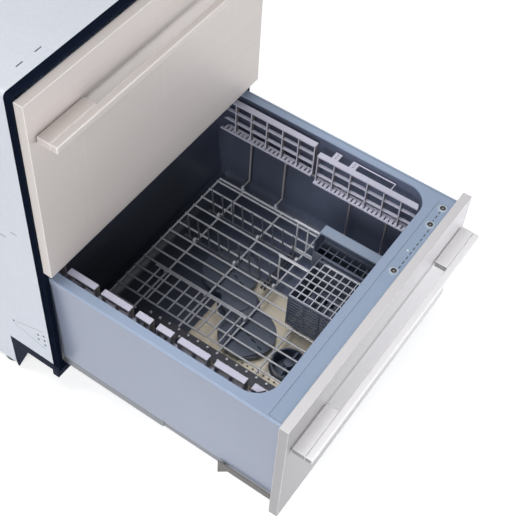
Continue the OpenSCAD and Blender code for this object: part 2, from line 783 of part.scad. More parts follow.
module button_at(x) {
    translate([x, button_y, 0]) {
        difference() {
            translate([0, 0, -strip_t - 3])
                cylinder(r = button_r, h = strip_t + 3 + button_travel, $fn = 48);
            translate([0, 0, button_travel - 0.6]) cylinder(r = 2.4, h = 2, $fn = 32);
        }
        translate([0, 0, -strip_t - 8]) cylinder(r = 3, h = 6, $fn = 32);
    }
}

/* ---------- wash parts ---------- */

// Flat motor, pump housing and drain pump hung under the tub's floor
module wash_pump_at() {
    z = floor_z - tub_wall;
    low = z - 8 - motor_h;
    translate([0, tub_mid_y, 0]) {
        difference() {
            translate([0, 0, z - 10]) cylinder(r = sump_r, h = 10, $fn = 72);
            translate([0, 0, z - 8]) cylinder(r = sump_r - 3, h = 9, $fn = 72);
        }
        translate([0, 0, low]) cylinder(r = motor_r, h = motor_h, $fn = 72);
        translate([0, 0, z - 9]) cylinder(r = 8.7, h = arm_z + arm_t - 3 - seat - z + 9, $fn = 40);
        translate([0, 0, z - 12]) rotate([0, 90, 0]) cylinder(r = 8, h = 104, $fn = 40);
        translate([92, 0, z - 12]) rotate([0, 90, 0]) cylinder(r = 11, h = 38, $fn = 56);
        for (a = [0 : 30 : 330]) rotate([0, 0, a])
            block([motor_r - 1, -1, low + 1], [motor_r + 3, 1, z - 9]);
    }
}

module lobe_outline() {
    c = arm_reach - lobe_r;
    circle(r = 34, $fn = 64);
    for (s = [-1, 1]) translate([s * c, 0]) circle(r = lobe_r, $fn = 96);
    square([2 * c, 60], center = true);
}

module spray_arm_at() {
    translate([0, tub_mid_y, arm_z]) rotate([0, 0, arm_turn]) difference() {
        union() {
            linear_extrude(arm_t - 3) lobe_outline();
            translate([0, 0, arm_t - 3 - eps]) linear_extrude(3 + eps) intersection() {
                lobe_outline();
                square([2 * arm_reach - 8, 2 * lobe_r - 8], center = true);
            }
            cylinder(r = 24, h = arm_t + 3, $fn = 64);
        }
        translate([0, 0, -1]) cylinder(r = 9, h = arm_t - 2, $fn = 40);
        // Spray slots along both blades
        for (s = [-1, 1], i = [0 : 4]) rotate([0, 0, s > 0 ? 0 : 180])
            translate([40 + i * 18, -14 + 7 * i, arm_t - 5]) rotate([0, 0, 30])
                cube([11, 2.6, 12], center = true);
    }
}

module filter_plate_at() {
    z = floor_z;
    difference() {
        translate([0, 0, z]) linear_extrude(3) difference() {
            round_rect(-166, flat_y, 74, tub_mid_y + 40, 44);
            translate([0, tub_mid_y]) circle(r = 42, $fn = 72);
            translate([filter_x, filter_y]) circle(r = filter_r + 5, $fn = 72);
        }
        for (i = [0 : 8], j = [0 : 4])
            translate([-146 + j * 11, open_front + 78 + i * 12, z - 1]) cylinder(r = 1.8, h = 6, $fn = 16);
    }
    translate([filter_x, filter_y, z]) linear_extrude(3.8) difference() {
        circle(r = filter_r + 6, $fn = 72);
        circle(r = filter_r + 3, $fn = 72);
    }
}

// Drain filter cup with a ring grip and a locking knob
module drain_filter_at() {
    translate([filter_x, filter_y, floor_z]) {
        difference() {
            translate([0, 0, -16]) cylinder(r = filter_r, h = 34, $fn = 72);
            translate([0, 0, -13]) cylinder(r = filter_r - 3, h = 40, $fn = 72);
        }
        translate([0, 0, -14]) cylinder(r = 9, h = 34, $fn = 40);
        block([-filter_r + 1, -2, 4], [filter_r - 1, 2, 16]);
    }
}

/* ---------- racks ---------- */

// The rack: a floor of crossed wires, and what is clipped on it
module rack_at(bearing_xs, with_fence) {
    low_z = rack_z - wire_d * 0.8;
    rail_z = low_z + 0.4;
    rack_floor(bearing_xs, low_z, rail_z);
    both_sides() side_frame(rail_z + wire_d / 2 + 0.4 + joint_gap);
    if (with_fence) {
        fence();
        basket_hook();
    }
}

module rack_floor(bearing_xs, low_z, rail_z) {
    y0 = open_front + 22;
    y1 = open_rear - 22;
    n = floor(rack_x / wire_pitch);
    comb_x = -5 * wire_pitch;
    comb_step = 22;
    for (i = [-n : n]) wire_y(i * wire_pitch, y0 - 1, y1 + 1, rack_z);
    for (y = concat([y0, y0 + 88, y1], bearing_ys)) wire_x(-rack_x - 1, rack_x + 1, y, low_z);
    for (bx = bearing_xs, y = bearing_ys) bearing(bx, y, low_z);
    both_sides() wire_y(rack_x, y0 - 1, y1 + 1, rail_z, wire_d + 0.8);
    for (s = [-1, 1], y = [y0 + 88, bearing_ys[2]]) wire_z(s * 7 * wire_pitch, y, floor_z, low_z, 8);
    // Two stout bars across, under the tall tines
    for (y = [bar_y, bar_y + 7]) wire_x(47, 157, y, low_z, wire_d + 1);
    // Strip with short pegs along the left side
    block([comb_x - 12, y0 + 20, rack_z - 1], [comb_x + 12, y0 + 330, rack_z + 4]);
    for (k = [0 : 13], side = [-1, 1]) {
        peg_x = comb_x + 6 * side;
        peg_y = y0 + 30 + k * comb_step + 5 * side;
        block([peg_x - 2, peg_y - 2, rack_z + 3], [peg_x + 2, peg_y + 2, rack_z + 7]);
    }
}

// Wire fence that stands on the floor behind the cutlery basket
module fence() {
    x = 6 * wire_pitch;
    z0 = rack_z + wire_d / 2 + joint_gap;
    top = rack_z + 88;
    y0 = basket_y + basket_len + 14;
    for (k = [0 : 2]) wire_z(x, y0 + k * tine_pitch, z0, top, wire_d - 0.4);
    wire_y(x, y0 - 8, y0 + 2 * tine_pitch + 8, top);
    wire_y(x, y0 - 8, y0 + 2 * tine_pitch + 8, z0 + wire_d);
}

// Upright wire with an arm that keeps the cutlery basket in place
module basket_hook() {
    x = 2.7 * wire_pitch;
    y1 = bearing_ys[0];
    top = basket_z + basket_h - 2;
    wire_z(x, y1, rack_z - wire_d * 0.8 + wire_d / 2 + joint_gap, top, wire_d - 0.6);
    wire_y(x, basket_y + basket_len - basket_step + 1, y1 + wire_d / 2, top, wire_d - 0.4);
}

// Clip on a cross wire that holds the shaft of a tine row
module bearing(x, y, low_z) {
    z = rack_z + wire_d + 1;
    difference() {
        union() {
            translate([x, y - 2.5, z]) rotate([-90, 0, 0]) cylinder(r = 4.6, h = 5, $fn = 24);
            block([x - clip_w / 2, y - 2.5, low_z - 1], [x + clip_w / 2, y + 2.5, z]);
        }
        translate([x, y - 3, z]) rotate([-90, 0, 0]) cylinder(r = wire_d / 2 + seat, h = 6, $fn = 24);
    }
}

// Upright wire frame at one side, which carries the cup racks' hinges
module side_frame(foot_z) {
    step_z = rack_z + 9;
    foot = wire_d / 2 + 1.4;
    wire_y(hinge_x, cup_front_y + 14, cup_rear_y + cup_len - 14, hinge_z);
    for (y0 = [cup_front_y, cup_rear_y], y = [y0 + 64, y0 + 146]) {
        wire_z(hinge_x, y, step_z - wire_past, hinge_z + wire_past);
        wire_x(rack_x - wire_past, hinge_x + wire_past, y, step_z);
        wire_z(rack_x, y, foot_z, step_z + wire_past);
        block([rack_x - foot, y - foot, foot_z], [rack_x + foot, y + foot, foot_z + 4]);
    }
}

// Grid of slats and ribs, stowed upright: bars run along Y, ribs along Z
module cup_grid(y0, open_edge, h) {
    slat = cup_slat;
    ribs = 6;
    x0 = cup_x - cup_t;
    mid_x = cup_x - cup_t / 2;
    z1 = cup_z;
    z0 = cup_z - h;
    for (z = [z1 - 27, z1 - 53]) block([mid_x - 3, y0, z - slat], [mid_x + 3, y0 + cup_len, z]);
    if (open_edge) {
        block([x0, y0, z0], [cup_x, y0 + cup_len, z0 + slat + 1]);
        for (i = [0 : 3]) {
            a = y0 + segment_start(i);
            b = a + left_segments[i];
            block([x0, a, z1 - slat], [cup_x, b, z1]);
            // Web under the cap, set back between its legs
            block([x0 + 2.5, a, z1 - 10], [cup_x - 2.5, b, z1 - eps]);
            for (e = [a, b - slat]) block([x0, e, z0], [cup_x, e + slat, z1 - eps]);
            block([x0 + 1, (a + b - slat) / 2, z0], [cup_x - 1, (a + b + slat) / 2, z1 - eps]);
        }
    } else {
        block([x0, y0, z1 - slat - 1], [cup_x, y0 + cup_len, z1]);
        hatched_slat(y0, x0 - 5, z0);
        for (i = [0 : ribs]) block([x0 + 1, y0 + i * (cup_len - slat) / ribs, z0],
            [cup_x - 1, y0 + i * (cup_len - slat) / ribs + slat, z1 - eps]);
    }
}

// Broad lowest slat with a row of cross slots
module hatched_slat(y0, x0, z0) {
    slot_step = 9.2;
    difference() {
        block([x0, y0, z0], [cup_x, y0 + cup_len, z0 + cup_slat + 1]);
        for (k = [0 : 22]) block([x0 + 2.5, y0 + 6 + k * slot_step, z0 - 1],
            [cup_x - 3, y0 + 9 + k * slot_step, z0 + cup_slat + 2]);
    }
}

function segment_start(i) = i == 0 ? 0 : segment_start(i - 1) + left_segments[i - 1]
    + (cup_len - 180) / 3;

// A cup rack on the right: grid, trimmed to the chamber's round corner, and hinge clips.
// inset moves the grid away from the hinge wire, towards the middle of the tub.
module cup_rack_at(y0, open_edge, inset = 0) {
    sink = inset / 2;
    arm_in = max(3, inset + 1);
    difference() {
        union() {
            intersection() {
                translate([-inset, 0, -sink]) cup_grid(y0, open_edge, cup_h - sink);
                translate([0, 0, floor_z]) linear_extrude(tub_depth)
                    round_rect(-open_x + cup_fit, open_front + end_fit, open_x - cup_fit,
                        open_rear - end_fit, tub_r - cup_fit);
            }
            for (y = [y0 + 48, y0 + 156]) {
                translate([hinge_x, y, hinge_z]) rotate([-90, 0, 0]) cylinder(r = 4.6, h = 12, $fn = 40);
                block([hinge_x - arm_in, y, hinge_z - eps], [hinge_x + 3, y + 12, cup_z - cup_h + 1]);
            }
            if (inset > 0) ears(y0, cup_z - sink, inset);
        }
        translate([hinge_x, y0 - 10, hinge_z]) rotate([-90, 0, 0])
            cylinder(r = wire_d / 2 + seat, h = cup_len + 20, $fn = 40);
    }
}

// Two perforated ears and a wire loop that steady an inset cup rack against the wall
module ears(y0, top, inset) {
    for (y = [y0 + 152, y0 + 190]) difference() {
        block([cup_x - inset - 1, y - 7, top - 3], [cup_x + 6, y + 7, top]);
        for (k = [0 : 2]) translate([cup_x - inset + 4 + 4.5 * k, y, top - 4])
            cylinder(r = 1.3, h = 5, $fn = 20);
    }
    wire_y(cup_x + 5, y0 + 66, y0 + 150, top - 1.5, 2.6);
    wire_x(cup_x - inset - 1, cup_x + 5.6, y0 + 67, top - 1.5, 2.6);
}

// Front and rear cup rack joined at their feet
module cup_rack_pair(open_edge) {
    for (y = [cup_front_y, cup_rear_y]) cup_rack_at(y, open_edge);
    block([cup_x - cup_t, cup_front_y + cup_len - 2, cup_z - cup_h],
        [cup_x, cup_rear_y + 2, cup_z - cup_h + cup_slat]);
}

// A row of plate tines on a hinged shaft; lean is the tines' angle from upright
module tine_row(x, lean) {
    z = rack_z + wire_d + 1;
    wire_y(x, tine_y - 12, tine_y + 8 * tine_pitch + 12, z);
    for (i = [0 : 8]) translate([x, tine_y + i * tine_pitch, z])
        rotate([0, lean, 0]) cylinder(d = wire_d - 0.6, h = tine_len, $fn = 20);
}

/* ---------- cutlery basket ---------- */

module basket_at() {
    w = basket_wall;
    y0 = basket_y;
    y1 = y0 + basket_len;
    bay_y = y1 - basket_step;
    z0 = basket_z;
    z1 = z0 + basket_h;
    z2 = z1 + basket_rise;
    wall_x = basket_x1 + 12;
    deck_z = z1 - 4;
    difference() {
        union() {
            block([basket_x0, y0, z0], [wall_x + eps, bay_y, z1]);
            block([wall_x, y0, z0], [basket_x2, y1, z1]);
            block([wall_x, y1 - w, z1 - eps], [basket_x2, y1, z2]);
            block([wall_x, y0, z1 - eps], [basket_x2, y0 + w, z2]);
            block([basket_x2 - w, y0, z1 - eps], [basket_x2, y1, z2]);
            // Flange along the tall bay's top, and its round edge
            block([basket_x2 - flange_w, y0, z2 - eps], [basket_x2 - 1, y1, z2 + 5]);
            wire_y(basket_x2 - 1, y0, y1, z2 + 2.5, 5);
        }
        block([basket_x0 + w, y0 + w, z0 + w], [basket_x1, bay_y - w, z1 + 1]);
        block([wall_x + w, y0 + w, z0 + w], [basket_x2 - w, y1 - w, deck_z - 2.4]);
        block([basket_x1 + w, y0 + w, z1 - 9], [wall_x - w, bay_y - w, z1 + 1]);
        // Louvres in the side wall, drain slots in the floor
        for (i = [0 : 8], j = [0 : 2])
            block([basket_x0 - 1, y0 + 7 + j * louvre_step, z0 + 8 + i * 8.6],
                [basket_x0 + w + 1, y0 + 3 + (j + 1) * louvre_step, z0 + 12.6 + i * 8.6]);
        for (j = [0 : 6]) block([basket_x0 + 10, y0 + 8 + j * 14, z0 - 1],
            [basket_x1 - 10, y0 + 16 + j * 14, z0 + w + 1]);
        // Grid in the tall bay's deck, and the recess around it
        block([wall_x + w, y0 + w, deck_z], [basket_x2 - w, y1 - w, z1 + 1]);
        for (i = [0 : 1], j = [0 : 6])
            block([wall_x + 3.6 + i * 16.8, y0 + 5 + j * grid_step, deck_z - 4],
                [wall_x + 18.6 + i * 16.8, y0 + 3.2 + (j + 1) * grid_step, deck_z + 2]);
    }
}

module basket_lid_at() {
    z = basket_z + basket_h + seat;
    y0 = basket_y + 1;
    y1 = basket_y + basket_len - basket_step - 1;
    bar = 1.8;
    x0 = basket_x0 + 1;
    x1 = basket_x1 - 3;
    cols = 6;
    rows = 7;
    dx = (x1 - x0 - bar) / cols;
    dy = (y1 - y0 - bar) / rows;
    difference() {
        union() {
            for (i = [0 : cols]) block([x0 + i * dx, y0, z], [x0 + i * dx + bar, y1, z + 3]);
            for (j = [0 : rows]) block([x0, y0 + j * dy, z], [x1, y0 + j * dy + bar, z + 3]);
        }
        // Notch in the rear corner
        block([x1 - dx, y1 - dy, z - 1], [x1 + 1, y1 + 1, z + 4]);
    }
    wire_y(x1 + 0.4, y0, y1 - dy - 3, z + 1.6, 3.2);
}

/* ---------- the named pieces ---------- */

module lower_tub() color(plastic_grey) at_lower() tub_body();
module lower_front() color(steel_light) at_lower() front_panel(lower_front_h);
module lower_handle_bar() color(steel_light) at_lower() handle_bar_at();
module lower_handle_ends() color(steel_light) at_lower() handle_ends_at();
module lower_door_brackets() color([0.45, 0.42, 0.41]) at_lower() door_bracket();
module lower_drawer_rails() color(dark) at_lower() drawer_rail();
module lower_runners() color(dark)
    translate([0, front_back_y - lower_open / 2, lower_rim_z]) runner();
module lower_wash_pump() color([0.3, 0.31, 0.33]) at_lower() wash_pump_at();
module lower_spray_arm() color([0.35, 0.4, 0.5]) at_lower() spray_arm_at();
module lower_filter_plate() color([0.66, 0.63, 0.55]) at_lower() filter_plate_at();
module lower_drain_filter() color([0.32, 0.36, 0.45]) at_lower() drain_filter_at();
module lower_control_strip() color([0.68, 0.75, 0.84]) at_lower() control_strip_at();
module lower_power_button() color(dark) at_lower() button_at(power_x);
module lower_start_button() color(dark) at_lower() button_at(start_x);
module lower_mode_button() color(dark) at_lower() button_at(mode_x);
module lower_rack() color(wire_grey) at_lower() rack_at(tine_xs, true);
module lower_tines_left() color(wire_grey) at_lower() tine_row(tine_xs[0], -90);
module lower_tines_middle() color([0.5, 0.52, 0.56]) at_lower() tine_row(tine_xs[1], -6);
module lower_tines_right() color([0.5, 0.52, 0.56]) at_lower() tine_row(tine_xs[2], -6);
module lower_cup_rack_front_left() color(rack_white)
    at_lower() mirror([1, 0, 0]) cup_rack_at(cup_front_y, true);
module lower_cup_rack_rear_left() color(rack_white)
    at_lower() mirror([1, 0, 0]) cup_rack_at(cup_rear_y, true);
module lower_cup_rack_front_right() color(rack_white) at_lower() cup_rack_at(cup_front_y, false, cup_t);
module lower_cup_rack_rear_right() color(rack_white) at_lower() cup_rack_at(cup_rear_y, false);
module cutlery_basket() color([0.4, 0.43, 0.5]) at_lower() basket_at();
module basket_lid() color([0.8, 0.82, 0.86]) at_lower() basket_lid_at();

module upper_tub() color(plastic_grey) at_upper() tub_body();
module upper_front() color(steel) at_upper() front_panel(upper_front_h);
module upper_handle_bar() color(steel) at_upper() handle_bar_at();
module upper_handle_ends() color(steel) at_upper() handle_ends_at();
module upper_door_brackets() color([0.45, 0.42, 0.41]) at_upper() door_bracket();
module upper_drawer_rails() color(dark) at_upper() drawer_rail();
module upper_runners() color(dark) at_upper() runner();
module upper_wash_pump() color([0.3, 0.31, 0.33]) at_upper() wash_pump_at();
module upper_spray_arm() color([0.35, 0.4, 0.5]) at_upper() spray_arm_at();
module upper_filter_plate() color([0.66, 0.63, 0.55]) at_upper() filter_plate_at();
module upper_drain_filter() color([0.32, 0.36, 0.45]) at_upper() drain_filter_at();
module upper_control_strip() color([0.68, 0.75, 0.84]) at_upper() control_strip_at();
module upper_power_button() color(dark) at_upper() button_at(power_x);
module upper_start_button() color(dark) at_upper() button_at(start_x);
module upper_mode_button() color(dark) at_upper() button_at(mode_x);
module upper_rack() color(wire_grey) at_upper() rack_at([tine_xs[1]], false);
module upper_tines() color([0.5, 0.52, 0.56]) at_upper() tine_row(tine_xs[1], -6);
module upper_cup_racks_left() color(rack_white) at_upper() mirror([1, 0, 0]) cup_rack_pair(true);
module upper_cup_racks_right() color(rack_white) at_upper() cup_rack_pair(false);

wrapper();
back_panel();
base_frame();
front_trim();
kick_frame();
levelling_feet();
divider_rail();
cabinet_rails();
lid_lifters();
inlet_valve();
drain_outlet();
cable_gland();
lower_lid();
lower_lid_seal();
upper_lid();
upper_lid_seal();
lower_tub();
lower_front();
lower_handle_bar();
lower_handle_ends();
lower_door_brackets();
lower_drawer_rails();
lower_runners();
lower_wash_pump();
lower_spray_arm();
lower_filter_plate();
lower_drain_filter();
lower_control_strip();
lower_power_button();
lower_start_button();
lower_mode_button();
lower_rack();
lower_tines_left();
lower_tines_middle();
lower_tines_right();
lower_cup_rack_front_left();
lower_cup_rack_rear_left();
lower_cup_rack_front_right();
lower_cup_rack_rear_right();
cutlery_basket();
basket_lid();
upper_tub();
upper_front();
upper_handle_bar();
upper_handle_ends();
upper_door_brackets();
upper_drawer_rails();
upper_runners();
upper_wash_pump();
upper_spray_arm();
upper_filter_plate();
upper_drain_filter();
upper_control_strip();
upper_power_button();
upper_start_button();
upper_mode_button();
upper_rack();
upper_tines();
upper_cup_racks_left();
upper_cup_racks_right();
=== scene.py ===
import json
import math

import bpy
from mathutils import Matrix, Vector

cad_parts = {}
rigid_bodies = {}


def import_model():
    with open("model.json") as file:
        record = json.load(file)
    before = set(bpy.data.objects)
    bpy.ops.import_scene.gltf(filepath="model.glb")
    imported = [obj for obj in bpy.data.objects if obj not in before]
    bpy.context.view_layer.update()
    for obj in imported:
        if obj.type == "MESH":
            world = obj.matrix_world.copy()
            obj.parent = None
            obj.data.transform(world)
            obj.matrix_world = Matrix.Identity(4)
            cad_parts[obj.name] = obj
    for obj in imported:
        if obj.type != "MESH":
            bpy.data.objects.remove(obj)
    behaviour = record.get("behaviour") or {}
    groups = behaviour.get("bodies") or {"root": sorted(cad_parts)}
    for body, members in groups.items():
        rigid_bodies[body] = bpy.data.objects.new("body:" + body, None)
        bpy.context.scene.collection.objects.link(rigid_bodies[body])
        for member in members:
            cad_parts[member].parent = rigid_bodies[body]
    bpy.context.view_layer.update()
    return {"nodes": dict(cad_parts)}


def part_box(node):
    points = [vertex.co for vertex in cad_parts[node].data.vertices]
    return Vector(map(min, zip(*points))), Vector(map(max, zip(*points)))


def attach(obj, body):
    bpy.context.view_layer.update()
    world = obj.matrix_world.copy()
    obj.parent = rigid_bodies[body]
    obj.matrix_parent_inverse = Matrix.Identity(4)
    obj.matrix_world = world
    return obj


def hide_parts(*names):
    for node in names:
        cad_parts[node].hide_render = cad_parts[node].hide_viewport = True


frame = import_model()
print("frame loaded:", len(frame["nodes"]), "nodes")

# where each drawer's deck is: the middle of the rim, in the plane of the front's back
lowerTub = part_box("lower_tub")
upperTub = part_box("upper_tub")
lowerDeck = Vector((0, lowerTub[0][1], lowerTub[1][2]))
upperDeck = Vector((0, upperTub[0][1], upperTub[1][2]))


# camera first: standing at the left in front, looking down into the drawer

cameraView = {
    "place": (-1.02375, -0.86968, 1.89010),
    "turnDegrees": (37.27719, -2.79041, -55.21005),
    "lens": 76.015,
    "clip": (0.05, 30),
}
camData = bpy.data.cameras.new("photoCamera")
camData.lens = cameraView["lens"]
camData.sensor_width = 36
camData.clip_start, camData.clip_end = cameraView["clip"]
camera = bpy.data.objects.new("photoCamera", camData)
camera.location = cameraView["place"]
camera.rotation_euler = [math.radians(a) for a in cameraView["turnDegrees"]]
bpy.context.scene.collection.objects.link(camera)
bpy.context.scene.camera = camera
bpy.context.scene.view_settings.view_transform = "Standard"


# node helpers

def addNode(tree, kind, sockets=None, **settings):
    made = tree.nodes.new(kind)
    for key, value in settings.items():
        setattr(made, key, value)
    for key, value in (sockets or {}).items():
        if isinstance(value, bpy.types.NodeSocket):
            tree.links.new(value, made.inputs[key])
        else:
            made.inputs[key].default_value = value
    return made


def addMath(tree, operation, a, b=0.0, clamp=False):
    made = tree.nodes.new("ShaderNodeMath")
    made.operation = operation
    made.use_clamp = clamp
    for socket, value in zip(made.inputs, (a, b)):
        if isinstance(value, bpy.types.NodeSocket):
            tree.links.new(value, socket)
        else:
            socket.default_value = value
    return made.outputs[0]


def blendColours(tree, factor, first, second, mode="MIX"):
    made = tree.nodes.new("ShaderNodeMix")
    made.data_type = "RGBA"
    made.blend_type = mode
    for socket, value in ((made.inputs[0], factor), (made.inputs[6], first), (made.inputs[7], second)):
        if isinstance(value, bpy.types.NodeSocket):
            tree.links.new(value, socket)
        elif isinstance(value, tuple):
            socket.default_value = (*value, 1)
        else:
            socket.default_value = value
    return made.outputs[2]


def spread(tree, value, low, high):  # a 0 to 1 value laid out between low and high
    return addNode(tree, "ShaderNodeMapRange", {"Value": value, "To Min": low, "To Max": high}).outputs[0]


def boxMask(tree, low, high, place):  # 1 inside a box given in metres, 0 outside
    inside = 1.0
    for axis in range(3):
        middle = (low[axis] + high[axis]) / 2
        reach = (high[axis] - low[axis]) / 2
        away = addMath(tree, "ABSOLUTE", addMath(tree, "SUBTRACT", place.outputs[axis], middle))
        inside = addMath(tree, "MULTIPLY", inside, addMath(tree, "LESS_THAN", away, reach))
    return inside


def discMask(tree, centre, radius, place, axes=(0, 1)):  # 1 within a radius around a straight line
    across = addMath(tree, "SUBTRACT", place.outputs[axes[0]], centre[0])
    along = addMath(tree, "SUBTRACT", place.outputs[axes[1]], centre[1])
    squared = addMath(tree, "ADD", addMath(tree, "MULTIPLY", across, across),
                      addMath(tree, "MULTIPLY", along, along))
    return addMath(tree, "LESS_THAN", squared, radius * radius)


def objectPlace(tree):
    return addNode(tree, "ShaderNodeSeparateXYZ", {0: tree.nodes.new("ShaderNodeTexCoord").outputs["Object"]})


def faceTurn(tree):
    return addNode(tree, "ShaderNodeSeparateXYZ",
                   {0: tree.nodes.new("ShaderNodeNewGeometry").outputs["Normal"]})


def lineMask(tree, start, end, width, place, axes=(1, 2)):  # 1 on a thin straight line between two points
    length = math.dist(start, end)
    step = [(b - a) / length for a, b in zip(start, end)]
    across = addMath(tree, "SUBTRACT", place.outputs[axes[0]], start[0])
    upward = addMath(tree, "SUBTRACT", place.outputs[axes[1]], start[1])
    along = addMath(tree, "ADD", addMath(tree, "MULTIPLY", across, step[0]),
                    addMath(tree, "MULTIPLY", upward, step[1]))
    aside = addMath(tree, "SUBTRACT", addMath(tree, "MULTIPLY", upward, step[0]),
                    addMath(tree, "MULTIPLY", across, step[1]))
    near = addMath(tree, "LESS_THAN", addMath(tree, "ABSOLUTE", aside), width / 2)
    middle = addMath(tree, "ABSOLUTE", addMath(tree, "SUBTRACT", along, length / 2))
    return addMath(tree, "MULTIPLY", near, addMath(tree, "LESS_THAN", middle, length / 2))


def anyOf(tree, masks):
    total = masks[0]
    for mask in masks[1:]:
        total = addMath(tree, "MAXIMUM", total, mask)
    return total


def startGroup(name, inputs, outputs):
    tree = bpy.data.node_groups.new(name, "ShaderNodeTree")
    kinds = {"value": "NodeSocketFloat", "vector": "NodeSocketVector"}
    for label, kind, start in inputs:
        socket = tree.interface.new_socket(label, in_out="INPUT", socket_type=kinds[kind])
        socket.default_value = start
    for label, kind in outputs:
        tree.interface.new_socket(label, in_out="OUTPUT", socket_type=kinds[kind])
    return tree, tree.nodes.new("NodeGroupInput"), tree.nodes.new("NodeGroupOutput")


# shared effects

def makeMottle():  # soft uneven tone, as in rolled sheet and moulded skins
    tree, given, result = startGroup(
        "mottle", [("Scale", "value", 20), ("Contrast", "value", 1)], [("Tone", "value"), ("Fine", "value")])
    place = tree.nodes.new("ShaderNodeTexCoord").outputs["Object"]
    broad = addNode(tree, "ShaderNodeTexNoise",
                    {"Vector": place, "Scale": given.outputs["Scale"], "Detail": 5, "Roughness": 0.6})
    fineScale = addMath(tree, "MULTIPLY", given.outputs["Scale"], 22)
    fine = addNode(tree, "ShaderNodeTexNoise", {"Vector": place, "Scale": fineScale, "Detail": 2})
    centred = addMath(tree, "SUBTRACT", broad.outputs[0], 0.5)
    stretched = addMath(tree, "MULTIPLY", centred, given.outputs["Contrast"])
    tree.links.new(addMath(tree, "ADD", stretched, 0.5, clamp=True), result.inputs["Tone"])
    tree.links.new(fine.outputs[0], result.inputs["Fine"])
    return tree


def makeBrushLines():  # fine lines that run along one direction
    tree, given, result = startGroup(
        "brushLines", [("Stretch", "vector", (4, 400, 400)), ("Contrast", "value", 1)],
        [("Tone", "value"), ("Height", "value")])
    place = tree.nodes.new("ShaderNodeTexCoord").outputs["Object"]
    drawn = addNode(tree, "ShaderNodeVectorMath", {0: place, 1: given.outputs["Stretch"]},
                    operation="MULTIPLY")
    lines = addNode(tree, "ShaderNodeTexNoise",
                    {"Vector": drawn.outputs[0], "Scale": 1, "Detail": 4, "Roughness": 0.7})
    wide = addNode(tree, "ShaderNodeTexNoise", {"Vector": drawn.outputs[0], "Scale": 0.12, "Detail": 3})
    both = addMath(tree, "ADD", addMath(tree, "MULTIPLY", lines.outputs[0], 0.6),
                   addMath(tree, "MULTIPLY", wide.outputs[0], 0.4))
    centred = addMath(tree, "MULTIPLY", addMath(tree, "SUBTRACT", both, 0.5), given.outputs["Contrast"])
    tree.links.new(addMath(tree, "ADD", centred, 0.5, clamp=True), result.inputs["Tone"])
    tree.links.new(lines.outputs[0], result.inputs["Height"])
    return tree


def makeSoftEdge():  # rounds sharp edges in shading, and marks them
    tree, given, result = startGroup(
        "softEdge", [("Radius", "value", 0.0012)], [("Normal", "vector"), ("Edge", "value")])
    bevel = addNode(tree, "ShaderNodeBevel", {"Radius": given.outputs["Radius"]}, samples=4)
    flat = tree.nodes.new("ShaderNodeNewGeometry").outputs["Normal"]
    facing = addNode(tree, "ShaderNodeVectorMath", {0: bevel.outputs[0], 1: flat}, operation="DOT_PRODUCT")
    edge = addNode(tree, "ShaderNodeMapRange",
                   {"Value": facing.outputs["Value"], "From Min": 0.995, "From Max": 0.75})
    tree.links.new(bevel.outputs[0], result.inputs["Normal"])
    tree.links.new(edge.outputs[0], result.inputs["Edge"])
    return tree


def makeDustFilm():  # thin dust that settles on what faces up
    tree, given, result = startGroup(
        "dustFilm", [("Amount", "value", 0.2), ("Scale", "value", 14)], [("Mask", "value")])
    place = tree.nodes.new("ShaderNodeTexCoord").outputs["Object"]
    up = faceTurn(tree)
    cloud = addNode(tree, "ShaderNodeTexNoise",
                    {"Vector": place, "Scale": given.outputs["Scale"], "Detail": 6})
    patchy = addNode(tree, "ShaderNodeMapRange",
                     {"Value": cloud.outputs[0], "From Min": 0.35, "From Max": 0.75})
    lying = addMath(tree, "MULTIPLY", patchy.outputs[0], addMath(tree, "MAXIMUM", up.outputs[2], 0))
    tree.links.new(addMath(tree, "MULTIPLY", lying, given.outputs["Amount"], clamp=True),
                   result.inputs["Mask"])
    return tree


def makeDropMarks():  # rings that dried water leaves
    tree, given, result = startGroup(
        "dropMarks", [("Scale", "value", 60), ("Amount", "value", 0.5)], [("Mask", "value")])
    place = tree.nodes.new("ShaderNodeTexCoord").outputs["Object"]
    cells = addNode(tree, "ShaderNodeTexVoronoi",
                    {"Vector": place, "Scale": given.outputs["Scale"], "Randomness": 1})
    ring = addMath(tree, "ABSOLUTE", addMath(tree, "SUBTRACT", cells.outputs["Distance"], 0.26))
    band = addNode(tree, "ShaderNodeMapRange", {"Value": ring, "From Min": 0.05, "From Max": 0.0})
    few = addNode(tree, "ShaderNodeSeparateColor", {0: cells.outputs["Color"]})
    kept = addMath(tree, "GREATER_THAN", few.outputs[0], 0.6)
    mask = addMath(tree, "MULTIPLY", addMath(tree, "MULTIPLY", band.outputs[0], kept),
                   given.outputs["Amount"])
    tree.links.new(mask, result.inputs["Mask"])
    return tree


effects = {
    "mottle": makeMottle(), "brushLines": makeBrushLines(), "softEdge": makeSoftEdge(),
    "dustFilm": makeDustFilm(), "dropMarks": makeDropMarks(),
}
print("shared effects:", ", ".join(effects))


def useEffect(tree, name, **values):
    made = tree.nodes.new("ShaderNodeGroup")
    made.node_tree = effects[name]
    for key, value in values.items():
        made.inputs[key].default_value = value
    return made


def startMaterial(name, **fixed):
    material = bpy.data.materials.new(name)
    material.use_nodes = True
    tree = material.node_tree
    shader = tree.nodes["Principled BSDF"]
    for key, value in fixed.items():
        shader.inputs[key.replace("_", " ")].default_value = value
    return material, tree, shader


def addBump(tree, shader, height, distance, normal=None, strength=1.0):
    bump = addNode(tree, "ShaderNodeBump", {"Height": height, "Distance": distance, "Strength": strength})
    if normal is not None:
        tree.links.new(normal, bump.inputs["Normal"])
    tree.links.new(bump.outputs[0], shader.inputs["Normal"])


# finishes

